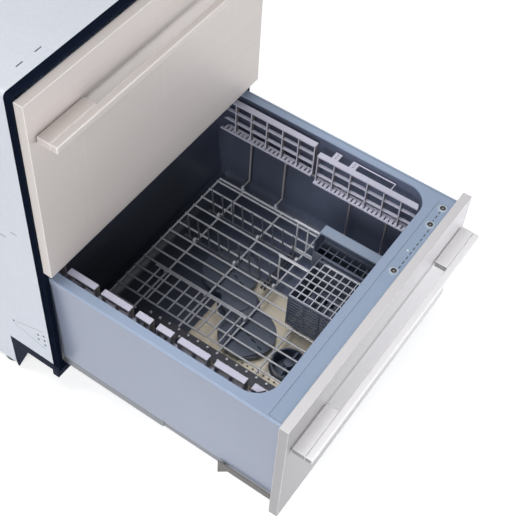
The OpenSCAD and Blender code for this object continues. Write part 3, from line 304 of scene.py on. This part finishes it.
def brushedSteel(name, light, dark, edge, rough, stretch, metallic=1.0, mark=0.06,
                 sideShade=1.0, topShade=1.0, paintedLeftShade=1.0, shine=0.5):
    material, tree, shader = startMaterial(name, Metallic=metallic, Specular_IOR_Level=shine)
    lines = useEffect(tree, "brushLines", Stretch=stretch, Contrast=1.5)
    patches = useEffect(tree, "mottle", Scale=7, Contrast=1.6)
    corner = useEffect(tree, "softEdge", Radius=0.0022)
    brushed = blendColours(tree, lines.outputs["Tone"], dark, light)
    # painted shade along the front: towards the left end the colour fades to the dark tone times the left-end
    # factor, which paints light where it is above 1
    fromLeft = addNode(tree, "ShaderNodeMapRange",
                       {"Value": objectPlace(tree).outputs[0], "From Min": 0.2, "From Max": -0.3})
    grain = blendColours(tree, fromLeft.outputs[0], brushed, tuple(c * paintedLeftShade for c in dark))
    # painted light and shade: faces turned sideways take the dark tone times the side factor, faces turned up
    # the light tone times the top factor
    facing = faceTurn(tree)
    sideways = addMath(tree, "GREATER_THAN", addMath(tree, "ABSOLUTE", facing.outputs[0]), 0.7)
    upward = addMath(tree, "GREATER_THAN", facing.outputs[2], 0.7)
    sided = blendColours(tree, sideways, grain, tuple(c * sideShade for c in dark))
    shaded = blendColours(tree, upward, sided, tuple(c * topShade for c in light))
    # painted highlight: a bright colour laid along the edges
    edgeHighlight = addMath(tree, "MULTIPLY", corner.outputs["Edge"], 2.5, clamp=True)
    edgeHighlighted = blendColours(tree, edgeHighlight, shaded, edge)
    tree.links.new(edgeHighlighted, shader.inputs["Base Color"])
    smudged = addMath(tree, "ADD", addMath(tree, "MULTIPLY", patches.outputs["Tone"], mark),
                      spread(tree, lines.outputs["Tone"], rough - 0.05, rough + 0.05))
    tree.links.new(smudged, shader.inputs["Roughness"])
    addBump(tree, shader, lines.outputs["Height"], 0.00003, corner.outputs["Normal"])
    return material


def zincSheet(name, light, dark, rough, metallic=0.6, marks=None):  # coated sheet with faint spangles
    material, tree, shader = startMaterial(name, Metallic=metallic)
    place = tree.nodes.new("ShaderNodeTexCoord").outputs["Object"]
    spangle = addNode(tree, "ShaderNodeTexVoronoi", {"Vector": place, "Scale": 260})
    tone = useEffect(tree, "mottle", Scale=5, Contrast=1.4)
    corner = useEffect(tree, "softEdge", Radius=0.0008)
    dust = useEffect(tree, "dustFilm", Amount=0.15)
    flake = addNode(tree, "ShaderNodeSeparateColor", {0: spangle.outputs["Color"]})
    mixed = addMath(tree, "ADD", addMath(tree, "MULTIPLY", flake.outputs[0], 0.35),
                    addMath(tree, "MULTIPLY", tone.outputs["Tone"], 0.65))
    sheet = blendColours(tree, mixed, dark, light)
    if marks:
        # painted shade: near-black discs stand for the dark inside the side sheet's small holes; thin darker
        # lines follow the listed paths
        near = objectPlace(tree)
        onLeft = addMath(tree, "LESS_THAN", near.outputs[0], marks["leftFace"])
        spots = anyOf(tree,
                      [discMask(tree, hole, marks["holeSize"], near, (1, 2)) for hole in marks["holes"]])
        sheet = blendColours(tree, addMath(tree, "MULTIPLY", spots, onLeft), sheet, marks["holeShadeColour"])
        traces = [lineMask(tree, start, end, marks["traceWidth"], near) for start, end in marks["darkLines"]]
        lined = addMath(tree, "MULTIPLY", anyOf(tree, traces), onLeft)
        sheet = blendColours(tree, lined, sheet, marks["traceColour"])
    dusty = blendColours(tree, dust.outputs["Mask"], sheet, (0.72, 0.71, 0.69))
    tree.links.new(dusty, shader.inputs["Base Color"])
    tree.links.new(spread(tree, mixed, rough - 0.07, rough + 0.09), shader.inputs["Roughness"])
    addBump(tree, shader, tone.outputs["Fine"], 0.00004, corner.outputs["Normal"])
    return material


def mouldedPlastic(name, light, dark, edge, rough, grain=0.00005, wet=0.0, dust=0.08, radius=0.001,
                   ends=None, marks=None):
    material, tree, shader = startMaterial(name)
    tone = useEffect(tree, "mottle", Scale=9, Contrast=1.5)
    corner = useEffect(tree, "softEdge", Radius=radius)
    film = useEffect(tree, "dustFilm", Amount=dust)
    drops = useEffect(tree, "dropMarks", Scale=70, Amount=wet)
    body = blendColours(tree, tone.outputs["Tone"], dark, light)
    # lighter colour along edges: edge wear and painted highlight
    edgeWearAndHighlight = blendColours(tree, addMath(tree, "MULTIPLY", corner.outputs["Edge"], 0.6), body, edge)
    # painted shade: faces that point along y take the given dark end colour
    if ends:
        lengthwise = addMath(tree, "GREATER_THAN", addMath(tree, "ABSOLUTE", faceTurn(tree).outputs[1]), 0.7)
        edgeWearAndHighlight = blendColours(tree, lengthwise, edgeWearAndHighlight, ends)
    for mask, colour in (marks(tree, objectPlace(tree)) if marks else ()):
        edgeWearAndHighlight = blendColours(tree, mask, edgeWearAndHighlight, colour)
    dusty = blendColours(tree, film.outputs["Mask"], edgeWearAndHighlight, (0.62, 0.62, 0.61))
    tree.links.new(dusty, shader.inputs["Base Color"])
    skin = addMath(tree, "ADD", spread(tree, tone.outputs["Fine"], rough - 0.06, rough + 0.08),
                   addMath(tree, "MULTIPLY", drops.outputs["Mask"], 0.2))
    tree.links.new(skin, shader.inputs["Roughness"])
    addBump(tree, shader, tone.outputs["Fine"], grain, corner.outputs["Normal"])
    return material


# one moulding: paler deck, and a darker chamber inside that is painted shade
def tubPlastic(name, body, deck, inside, rimHeight, rough=0.34):
    material, tree, shader = startMaterial(name)
    tone = useEffect(tree, "mottle", Scale=6, Contrast=1.5)
    corner = useEffect(tree, "softEdge", Radius=0.0015)
    drops = useEffect(tree, "dropMarks", Scale=70, Amount=0.6)
    place = objectPlace(tree)
    onTop = addNode(tree, "ShaderNodeMapRange",
                    {"Value": place.outputs[2],
                     "From Min": rimHeight - chamberSize["deckFade"][0],
                     "From Max": rimHeight - chamberSize["deckFade"][1]})
    # painted shade: the mask built below marks the chamber's walls and floor, which take the darker inside
    # colour
    halfOpening = chamberSize["halfWidth"]
    withinX = addMath(tree, "LESS_THAN", addMath(tree, "ABSOLUTE", place.outputs[0]), halfOpening)
    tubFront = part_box("lower_tub" if rimHeight < chamberSize["betweenTubs"] else "upper_tub")[0][1]
    pastFront = addMath(tree, "GREATER_THAN", place.outputs[1], tubFront + chamberSize["front"])
    beforeRear = addMath(tree, "LESS_THAN", place.outputs[1], tubFront + chamberSize["rear"])
    inPlan = addMath(tree, "MULTIPLY", withinX, addMath(tree, "MULTIPLY", pastFront, beforeRear))
    deep = addMath(tree, "GREATER_THAN", place.outputs[2], rimHeight - chamberSize["depth"])
    below = addMath(tree, "SUBTRACT", 1.0, onTop.outputs[0])
    wet = addMath(tree, "MULTIPLY", addMath(tree, "MULTIPLY", inPlan, deep), below)
    skin = blendColours(tree, tone.outputs["Tone"], tuple(c * 0.94 for c in body),
                        tuple(c * 1.05 for c in body))
    decked = blendColours(tree, onTop.outputs[0], skin, deck)
    chamber = blendColours(tree, tone.outputs["Fine"], tuple(c * 0.88 for c in inside),
                           tuple(c * 1.1 for c in inside))
    # painted shade: the chamber darkens towards the rear wall, less so on the right half
    rearWall = tubFront + chamberSize["rear"]
    towardRear = addNode(tree, "ShaderNodeMapRange", {
        "Value": place.outputs[1], "From Min": rearWall - chamberSize["rearFade"], "From Max": rearWall,
        "To Min": 1.0, "To Max": chamberSize["rearShade"]})
    towardRight = addNode(tree, "ShaderNodeMapRange", {
        "Value": place.outputs[0], "From Min": 0.0, "From Max": chamberSize["halfWidth"],
        "To Max": chamberSize["rightShade"]})
    shade = addMath(tree, "MAXIMUM", towardRear.outputs[0], towardRight.outputs[0])
    dim = addNode(tree, "ShaderNodeCombineColor", {0: shade, 1: shade, 2: shade})
    chamber = blendColours(tree, 1.0, chamber, dim.outputs[0], "MULTIPLY")
    # painted shade along a crease in the deck near its right lip
    fromLip = addMath(tree, "ABSOLUTE", addMath(tree, "SUBTRACT", place.outputs[0], chamberSize["lip"]))
    creased = addMath(tree, "MULTIPLY", addMath(tree, "LESS_THAN", fromLip, chamberSize["crease"]),
                      onTop.outputs[0])
    decked = blendColours(tree, creased, decked, tuple(c * chamberSize["creaseShade"] for c in deck))
    both = blendColours(tree, wet, decked, chamber)
    # lighter colour along edges: edge wear and painted highlight
    edgeWearAndHighlight = blendColours(tree, addMath(tree, "MULTIPLY", corner.outputs["Edge"], 0.35), both,
                          (0.5, 0.57, 0.68))
    tree.links.new(edgeWearAndHighlight, shader.inputs["Base Color"])
    gloss = addMath(tree, "ADD", spread(tree, tone.outputs["Fine"], rough - 0.06, rough + 0.08),
                    addMath(tree, "MULTIPLY", drops.outputs["Mask"], 0.2))
    tree.links.new(gloss, shader.inputs["Roughness"])
    addBump(tree, shader, tone.outputs["Fine"], 0.00004, corner.outputs["Normal"])
    return material


def coatedWire(name, light, dark, rough, marks=None):  # nylon skin over steel wire, with dried drops
    material, tree, shader = startMaterial(name)
    tone = useEffect(tree, "mottle", Scale=30, Contrast=1.4)
    drops = useEffect(tree, "dropMarks", Scale=160, Amount=0.5)
    skin = blendColours(tree, tone.outputs["Tone"], dark, light)
    marked = blendColours(tree, addMath(tree, "MULTIPLY", drops.outputs["Mask"], 0.4), skin,
                          (0.85, 0.86, 0.88))
    for mask, colour in (marks(tree, objectPlace(tree)) if marks else ()):
        marked = blendColours(tree, mask, marked, colour)
    tree.links.new(marked, shader.inputs["Base Color"])
    tree.links.new(spread(tree, tone.outputs["Fine"], rough - 0.05, rough + 0.1), shader.inputs["Roughness"])
    addBump(tree, shader, tone.outputs["Tone"], 0.00012)
    return material


# sprayed, with orange peel
def paintedSteel(name, light, dark, edge, rough, peel=0.00006, dust=0.12, shine=0.2):
    material, tree, shader = startMaterial(name, Specular_IOR_Level=shine)
    tone = useEffect(tree, "mottle", Scale=24, Contrast=1.3)
    corner = useEffect(tree, "softEdge", Radius=0.0009)
    film = useEffect(tree, "dustFilm", Amount=dust)
    coat = blendColours(tree, tone.outputs["Tone"], dark, light)
    # lighter colour along edges: edge wear and painted highlight
    edgeWearAndHighlight = blendColours(tree, addMath(tree, "MULTIPLY", corner.outputs["Edge"], 0.7), coat, edge)
    dusty = blendColours(tree, film.outputs["Mask"], edgeWearAndHighlight, (0.4, 0.4, 0.4))
    tree.links.new(dusty, shader.inputs["Base Color"])
    tree.links.new(spread(tree, tone.outputs["Tone"], rough - 0.06, rough + 0.08), shader.inputs["Roughness"])
    addBump(tree, shader, tone.outputs["Fine"], peel, corner.outputs["Normal"])
    return material


# reaches and depths in metres; painted shade as shares of the colour
chamberSize = {
    "halfWidth": 0.2695, "front": 0.046, "rear": 0.510, "depth": 0.2435, "betweenTubs": 0.6,
    "rearFade": 0.3, "rearShade": 0.18, "rightShade": 0.55,
    "deckFade": (0.0045, 0.0025), "lip": 0.2812, "crease": 0.0007, "creaseShade": 0.55,
}

# small marks, in metres

sideMarks = {
    "holeSize": 0.0026, "holeShadeColour": (0.02, 0.022, 0.03), "leftFace": -0.29,
    "traceWidth": 0.0011, "traceColour": (0.16, 0.17, 0.2),
    "holes": ((0.0274, 0.1928), (0.0276, 0.1782), (0.0126, 0.2003), (0.0125, 0.1857), (0.0123, 0.1714),
              (0.0874, 0.1867)),
    "darkLines": (((0.0805, 0.1898), (0.012, 0.2146)), ((0.0865, 0.1788), (0.0135, 0.1577))),
}
rackMarks = {
    "floorDrop": 0.215, "sideFrames": 0.2285, "sideColour": (0.33, 0.32, 0.33),
    "strip": (-0.1475, -0.1225), "stripReach": (0.08, 0.42), "stripHeights": (-0.0012, 0.0041, 0.009),
    "stripShadeColour": (0.05, 0.055, 0.075), "pegColour": (0.80, 0.80, 0.84), "barHeights": (-0.02, -0.0004),
    "bars": ((0.046, 0.2485), (0.158, 0.2625)), "barColour": (0.045, 0.048, 0.06),
}
stripMarks = {
    "pad": 0.0086, "padColour": (0.60, 0.67, 0.76), "cap": 0.0054, "capMiddle": 0.0015,
    "middleColour": (0.42, 0.40, 0.34), "dash": 0.0125, "dashShare": 0.6, "halfDash": 0.0010,
    "dashShift": -0.0042, "dashStart": 0.010, "dashEnd": 0.009, "dashColour": (0.03, 0.04, 0.06),
    "ledAlong": 0.42, "ledShift": 0.003, "led": 0.0019, "ledColour": (0.95, 0.96, 0.97), "thickness": 0.02,
}
buttonNodes = [side + "_" + kind + "_button"
               for side in ("lower", "upper") for kind in ("power", "start", "mode")]
buttonMiddles = [[(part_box(nodeName)[0][axis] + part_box(nodeName)[1][axis]) / 2 for axis in range(2)]
                 for nodeName in buttonNodes]


def rackPaint(deck):
    def masks(tree, place):
        floorLevel = deck.z - rackMarks["floorDrop"]
        aside = addMath(tree, "GREATER_THAN", addMath(tree, "ABSOLUTE", place.outputs[0]),
                        rackMarks["sideFrames"])
        yield aside, rackMarks["sideColour"]
        left, right = rackMarks["strip"]
        front, rear = (deck.y + reach for reach in rackMarks["stripReach"])
        bottom, face, top = (floorLevel + height for height in rackMarks["stripHeights"])
        # painted shade: a dark strip running front to back over the rack floor left of the middle, with pale
        # peg tips over it
        yield boxMask(tree, (left, front, bottom), (right, rear, face), place), rackMarks["stripShadeColour"]
        yield boxMask(tree, (left, front, face), (right, rear, top), place), rackMarks["pegColour"]
        (left, front), (right, rear) = rackMarks["bars"]
        bottom, top = (floorLevel + height for height in rackMarks["barHeights"])
        bars = boxMask(tree, (left, deck.y + front, bottom), (right, deck.y + rear, top), place)
        yield bars, rackMarks["barColour"]
    return masks


basketMarks = {"flangeDepth": 0.0035, "flangeColour": (0.30, 0.37, 0.49)}


def basketPaint(tree, place):
    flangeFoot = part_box("cutlery_basket")[1][2] - basketMarks["flangeDepth"]
    yield addMath(tree, "GREATER_THAN", place.outputs[2], flangeFoot), basketMarks["flangeColour"]


def buttonPaint(tree, place):
    caps = anyOf(tree, [discMask(tree, middle, stripMarks["cap"], place) for middle in buttonMiddles])
    yield addMath(tree, "SUBTRACT", 1.0, caps), stripMarks["padColour"]
    middles = anyOf(tree,
                    [discMask(tree, middle, stripMarks["capMiddle"], place) for middle in buttonMiddles])
    yield middles, stripMarks["middleColour"]


def stripPaint(tree, place):
    pads = anyOf(tree, [discMask(tree, middle, stripMarks["pad"], place) for middle in buttonMiddles])
    yield pads, stripMarks["padColour"]
    across = sorted(middle[0] for middle in buttonMiddles[:3])
    beat = addMath(tree, "FRACT", addMath(tree, "MULTIPLY", place.outputs[0], 1 / stripMarks["dash"]))
    stroke = addMath(tree, "LESS_THAN", beat, stripMarks["dashShare"])
    for deck, middle in ((lowerDeck, buttonMiddles[0]), (upperDeck, buttonMiddles[3])):
        bottom, top = deck.z - stripMarks["thickness"], deck.z + stripMarks["thickness"]
        rows = ((across[0], across[1], middle[1] + stripMarks["dashShift"]),
                (across[1], across[2], middle[1]))
        for start, end, line in rows:
            row = boxMask(tree, (start + stripMarks["dashStart"], line - stripMarks["halfDash"], bottom),
                          (end - stripMarks["dashEnd"], line + stripMarks["halfDash"], top), place)
            yield addMath(tree, "MULTIPLY", row, stroke), stripMarks["dashColour"]
        ledX = across[0] + (across[1] - across[0]) * stripMarks["ledAlong"]
        led = discMask(tree, (ledX, middle[1] + stripMarks["ledShift"]), stripMarks["led"], place)
        yield led, stripMarks["ledColour"]


finishes = {
    "cabinetSheet": zincSheet("cabinetSheet", (0.70, 0.73, 0.80), (0.60, 0.64, 0.71), 0.5, 0.15, sideMarks),
    "rearSheet": zincSheet("rearSheet", (0.55, 0.57, 0.60), (0.44, 0.46, 0.49), 0.45, 0.8),
    # the side, top and left-end factors of these steels are painted light and shade
    "upperSteel": brushedSteel("upperSteel", (0.61, 0.56, 0.54), (0.53, 0.485, 0.465), (1.0, 0.99, 0.97),
                               0.46, (3, 420, 420), 0.35, sideShade=1.15, topShade=0.86, paintedLeftShade=1.1),
    "lowerSteel": brushedSteel("lowerSteel", (0.62, 0.605, 0.62), (0.55, 0.535, 0.55), (0.85, 0.84, 0.84),
                               0.42, (3, 420, 420), 0.25,
                               sideShade=0.74, topShade=1.12, paintedLeftShade=0.6, shine=0.2),
    "handleSteel": brushedSteel("handleSteel", (0.78, 0.77, 0.78), (0.70, 0.69, 0.70), (0.95, 0.95, 0.95),
                                0.4, (3, 420, 420), 0.25,
                                sideShade=0.42, topShade=1.1, paintedLeftShade=0.9, shine=0.2),
    "slideSteel": brushedSteel("slideSteel", (0.30, 0.31, 0.33), (0.2, 0.21, 0.23), (0.5, 0.5, 0.52),
                               0.38, (300, 5, 300), 0.9),
    "bracketSteel": paintedSteel("bracketSteel", (0.20, 0.185, 0.18), (0.15, 0.14, 0.135),
                                 (0.4, 0.38, 0.37), 0.45),
    "trimNavy": paintedSteel("trimNavy", (0.009, 0.013, 0.027), (0.005, 0.008, 0.017), (0.05, 0.06, 0.085),
                             0.55, dust=0.0, shine=0.0),
    "kickNavy": paintedSteel("kickNavy", (0.012, 0.018, 0.038), (0.007, 0.011, 0.025), (0.08, 0.1, 0.14),
                             0.5, dust=0.0, shine=0.02),
    "baseBlack": paintedSteel("baseBlack", (0.02, 0.022, 0.026), (0.012, 0.013, 0.016), (0.1, 0.1, 0.11),
                              0.5, dust=0.02, shine=0.04),
    # the third colour is the chamber inside, darker as painted shade
    "lowerTubPlastic": tubPlastic("lowerTubPlastic", (0.30, 0.34, 0.45), (0.35, 0.44, 0.60),
                                  (0.125, 0.15, 0.23), lowerDeck.z),
    "upperTubPlastic": tubPlastic("upperTubPlastic", (0.30, 0.34, 0.45), (0.35, 0.44, 0.60),
                                  (0.125, 0.15, 0.23), upperDeck.z),
    "stripPlastic": mouldedPlastic("stripPlastic", (0.35, 0.45, 0.61), (0.31, 0.41, 0.57),
                                   (0.5, 0.6, 0.74), 0.3,
                                   marks=stripPaint),
    "lidPlastic": mouldedPlastic("lidPlastic", (0.52, 0.57, 0.64), (0.46, 0.51, 0.58), (0.7, 0.74, 0.8), 0.4),
    # the cup racks' end faces take painted shade
    "rackPlastic": mouldedPlastic("rackPlastic", (0.66, 0.66, 0.80), (0.56, 0.56, 0.70),
                                  (0.85, 0.85, 0.94), 0.36, wet=0.5,
                                  ends=(0.20, 0.18, 0.18)),
    "basketPlastic": mouldedPlastic("basketPlastic", (0.13, 0.155, 0.22), (0.09, 0.11, 0.165),
                                    (0.3, 0.34, 0.42), 0.4, wet=0.4,
                                    marks=basketPaint),
    "gridPlastic": mouldedPlastic("gridPlastic", (0.66, 0.68, 0.76), (0.55, 0.57, 0.65), (0.9, 0.9, 0.95),
                                  0.35),
    "armPlastic": mouldedPlastic("armPlastic", (0.10, 0.125, 0.18), (0.07, 0.09, 0.135),
                                 (0.22, 0.26, 0.34), 0.33, wet=0.6),
    "pumpPlastic": mouldedPlastic("pumpPlastic", (0.06, 0.062, 0.068), (0.04, 0.042, 0.047),
                                  (0.15, 0.15, 0.16), 0.5),
    "buttonBlack": mouldedPlastic("buttonBlack", (0.02, 0.02, 0.022), (0.012, 0.012, 0.014),
                                  (0.09, 0.09, 0.1), 0.3),
    "buttonFace": mouldedPlastic("buttonFace", (0.012, 0.012, 0.013), (0.008, 0.008, 0.009),
                                 (0.03, 0.03, 0.03), 0.35, dust=0.0,
                                 marks=buttonPaint),
    "valveWhite": mouldedPlastic("valveWhite", (0.74, 0.74, 0.70), (0.66, 0.66, 0.62), (0.85, 0.85, 0.82),
                                 0.4),
    "footPlastic": mouldedPlastic("footPlastic", (0.03, 0.03, 0.033), (0.02, 0.02, 0.022),
                                  (0.1, 0.1, 0.105), 0.55),
    "sealRubber": mouldedPlastic("sealRubber", (0.06, 0.062, 0.066), (0.045, 0.046, 0.05),
                                 (0.1, 0.1, 0.105), 0.7),
    "lifterZinc": zincSheet("lifterZinc", (0.45, 0.47, 0.5), (0.36, 0.38, 0.41), 0.4, 0.7),
    "filterSteel": brushedSteel("filterSteel", (0.60, 0.55, 0.45), (0.46, 0.42, 0.34), (0.75, 0.7, 0.6),
                                0.35, (240, 6, 240), 0.8),
    "wireLight": coatedWire("wireLight", (0.74, 0.76, 0.81), (0.60, 0.62, 0.68), 0.2),
    "lowerRackWire": coatedWire("lowerRackWire", (0.74, 0.76, 0.81), (0.60, 0.62, 0.68), 0.2,
                                rackPaint(lowerDeck)),
    "upperRackWire": coatedWire("upperRackWire", (0.74, 0.76, 0.81), (0.60, 0.62, 0.68), 0.2,
                                rackPaint(upperDeck)),
    "wireDark": coatedWire("wireDark", (0.13, 0.135, 0.17), (0.08, 0.085, 0.11), 0.26),
}

wornBy = {
    "wrapper": "cabinetSheet", "back_panel": "rearSheet", "base_frame": "baseBlack", "front_trim": "trimNavy",
    "kick_frame": "kickNavy", "levelling_feet": "footPlastic", "divider_rail": "trimNavy",
    "cabinet_rails": "slideSteel", "lid_lifters": "lifterZinc", "inlet_valve": "valveWhite",
    "drain_outlet": "pumpPlastic", "cable_gland": "buttonBlack",
    "lid": "lidPlastic", "lid_seal": "sealRubber",
    "lower_tub": "lowerTubPlastic", "upper_tub": "upperTubPlastic", "door_brackets": "bracketSteel",
    "drawer_rails": "slideSteel", "runners": "slideSteel",
    "wash_pump": "pumpPlastic", "spray_arm": "armPlastic",
    "filter_plate": "filterSteel", "drain_filter": "armPlastic", "control_strip": "stripPlastic",
    "power_button": "buttonFace", "start_button": "buttonFace", "mode_button": "buttonFace",
    "lower_rack": "lowerRackWire", "upper_rack": "upperRackWire",
    "tines": "wireDark", "tines_left": "wireLight", "tines_middle": "wireDark",
    "tines_right": "wireDark", "cup_rack_front_left": "rackPlastic", "cup_rack_rear_left": "rackPlastic",
    "cup_rack_front_right": "rackPlastic", "cup_rack_rear_right": "rackPlastic",
    "cup_racks_left": "rackPlastic", "cup_racks_right": "rackPlastic",
    "cutlery_basket": "basketPlastic", "basket_lid": "gridPlastic",
    "upper_front": "upperSteel", "upper_handle_bar": "upperSteel", "upper_handle_ends": "upperSteel",
    "lower_front": "lowerSteel", "lower_handle_bar": "handleSteel", "lower_handle_ends": "handleSteel",
}


def setFinish(piece, finish):
    if not piece.material_slots:
        piece.data.materials.append(finishes[finish])
    for slot in piece.material_slots:
        slot.material = finishes[finish]


for nodeName, node in frame["nodes"].items():
    shortName = nodeName.removeprefix("lower_").removeprefix("upper_")
    setFinish(node, wornBy[nodeName] if nodeName in wornBy else wornBy[shortName])
print("finishes:", len(finishes))


# pieces

def deselectAll():
    for shown in bpy.context.view_layer.objects:
        shown.select_set(False)


def roundedCopy(nodeName, name, body, finish, edgeWidth, segments=2):
    deselectAll()
    source = frame["nodes"][nodeName]
    piece = bpy.data.objects.new(name, source.data.copy())
    bpy.context.scene.collection.objects.link(piece)
    piece.select_set(True)
    bpy.context.view_layer.objects.active = piece
    bpy.ops.object.mode_set(mode="EDIT")
    bpy.ops.mesh.select_all(action="SELECT")
    bpy.ops.mesh.remove_doubles(threshold=0.00001)
    bpy.ops.mesh.dissolve_limited(angle_limit=math.radians(1))
    bpy.ops.object.mode_set(mode="OBJECT")
    bevel = piece.modifiers.new("edges", "BEVEL")
    bevel.width = edgeWidth
    bevel.segments = segments
    bevel.angle_limit = math.radians(40)
    bpy.ops.object.modifier_apply(modifier="edges")
    bpy.ops.object.shade_smooth_by_angle(angle=math.radians(60))
    evenNormals = piece.modifiers.new("evenNormals", "WEIGHTED_NORMAL")
    evenNormals.keep_sharp = True
    bpy.ops.object.modifier_apply(modifier="evenNormals")
    setFinish(piece, finish)
    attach(piece, body)
    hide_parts(nodeName)
    return piece


roundedPieces = {
    "upper_front": ("upperFrontPanel", "upper_drawer", "upperSteel", 0.0005),
    "lower_front": ("lowerFrontPanel", "lower_drawer", "lowerSteel", 0.0005),
    "upper_handle_bar": ("upperHandleBar", "upper_drawer", "upperSteel", 0.0012),
    "lower_handle_bar": ("lowerHandleBar", "lower_drawer", "handleSteel", 0.0012),
    "upper_handle_ends": ("upperHandleEnds", "upper_drawer", "upperSteel", 0.0006),
    "lower_handle_ends": ("lowerHandleEnds", "lower_drawer", "handleSteel", 0.0006),
}
for nodeName, (name, body, finish, edgeWidth) in roundedPieces.items():
    roundedCopy(nodeName, name, body, finish, edgeWidth)
print("rounded steel pieces:", len(roundedPieces))


# room: pale floor, white background, soft lamps

roomLook = {
    "floorSize": 12, "floorColour": (0.86, 0.87, 0.88), "glow": 0.62,
    "skyColour": (0.93, 0.95, 1.0), "skyStrength": 0.12,
    "lampAim": (0, -0.2, 0.4),
}
deselectAll()
bpy.ops.mesh.primitive_plane_add(size=roomLook["floorSize"], location=(0, 0, 0))
floor = bpy.context.active_object
floor.name = "floor"
floorMaterial = bpy.data.materials.new("paleFloor")
floorMaterial.use_nodes = True
floorTree = floorMaterial.node_tree
floorShader = floorTree.nodes["Principled BSDF"]
floorShader.inputs["Roughness"].default_value = 0.9
floorTone = useEffect(floorTree, "mottle", Scale=2, Contrast=0.4)
floorTree.links.new(
    blendColours(floorTree, floorTone.outputs["Tone"], roomLook["floorColour"],
                 tuple(c + 0.01 for c in roomLook["floorColour"])), floorShader.inputs["Base Color"])
floorRays = floorTree.nodes.new("ShaderNodeLightPath")
floorSeen = addMath(floorTree, "MAXIMUM", floorRays.outputs["Is Camera Ray"],
                    addMath(floorTree, "MAXIMUM", floorRays.outputs["Is Glossy Ray"],
                            floorRays.outputs["Is Transmission Ray"]))
floorShader.inputs["Emission Color"].default_value = (1, 1, 1, 1)
floorTree.links.new(addMath(floorTree, "MULTIPLY", floorSeen, roomLook["glow"]),
                    floorShader.inputs["Emission Strength"])
floor.data.materials.append(floorMaterial)

world = bpy.data.worlds.new("studio")
bpy.context.scene.world = world
world.use_nodes = True
worldTree = world.node_tree
worldTree.nodes.clear()
rays = worldTree.nodes.new("ShaderNodeLightPath")
seen = addMath(worldTree, "MAXIMUM", rays.outputs["Is Camera Ray"],
               addMath(worldTree, "MAXIMUM", rays.outputs["Is Glossy Ray"],
                       rays.outputs["Is Transmission Ray"]))
lighting = addNode(worldTree, "ShaderNodeBackground",
                   {"Color": (*roomLook["skyColour"], 1), "Strength": roomLook["skyStrength"]})
shown = addNode(worldTree, "ShaderNodeBackground", {"Color": (1, 1, 1, 1), "Strength": 1.0})
mixed = addNode(worldTree, "ShaderNodeMixShader", {0: seen, 1: lighting.outputs[0], 2: shown.outputs[0]})
addNode(worldTree, "ShaderNodeOutputWorld", {"Surface": mixed.outputs[0]})

lamps = {
    "keyLamp": {"place": (-3.2, -1.2, 2.2), "size": 1.6, "power": 66, "colour": (1, 0.99, 0.97)},
    "topLamp": {"place": (-0.6, 0.5, 3.6), "size": 1.4, "power": 56, "colour": (1, 1, 1)},
    "fillLamp": {"place": (0.3, -3.6, 0.5), "size": 1.4, "power": 84, "colour": (0.97, 0.98, 1)},
}
for name, look in lamps.items():
    lampData = bpy.data.lights.new(name, "AREA")
    lampData.shape = "SQUARE"
    lampData.size = look["size"]
    lampData.energy = look["power"]
    lampData.color = look["colour"]
    lamp = bpy.data.objects.new(name, lampData)
    lamp.location = look["place"]
    aim = Vector(roomLook["lampAim"]) - lamp.location
    lamp.rotation_euler = aim.to_track_quat("-Z", "Y").to_euler()
    bpy.context.scene.collection.objects.link(lamp)
print("lamps:", len(lamps))
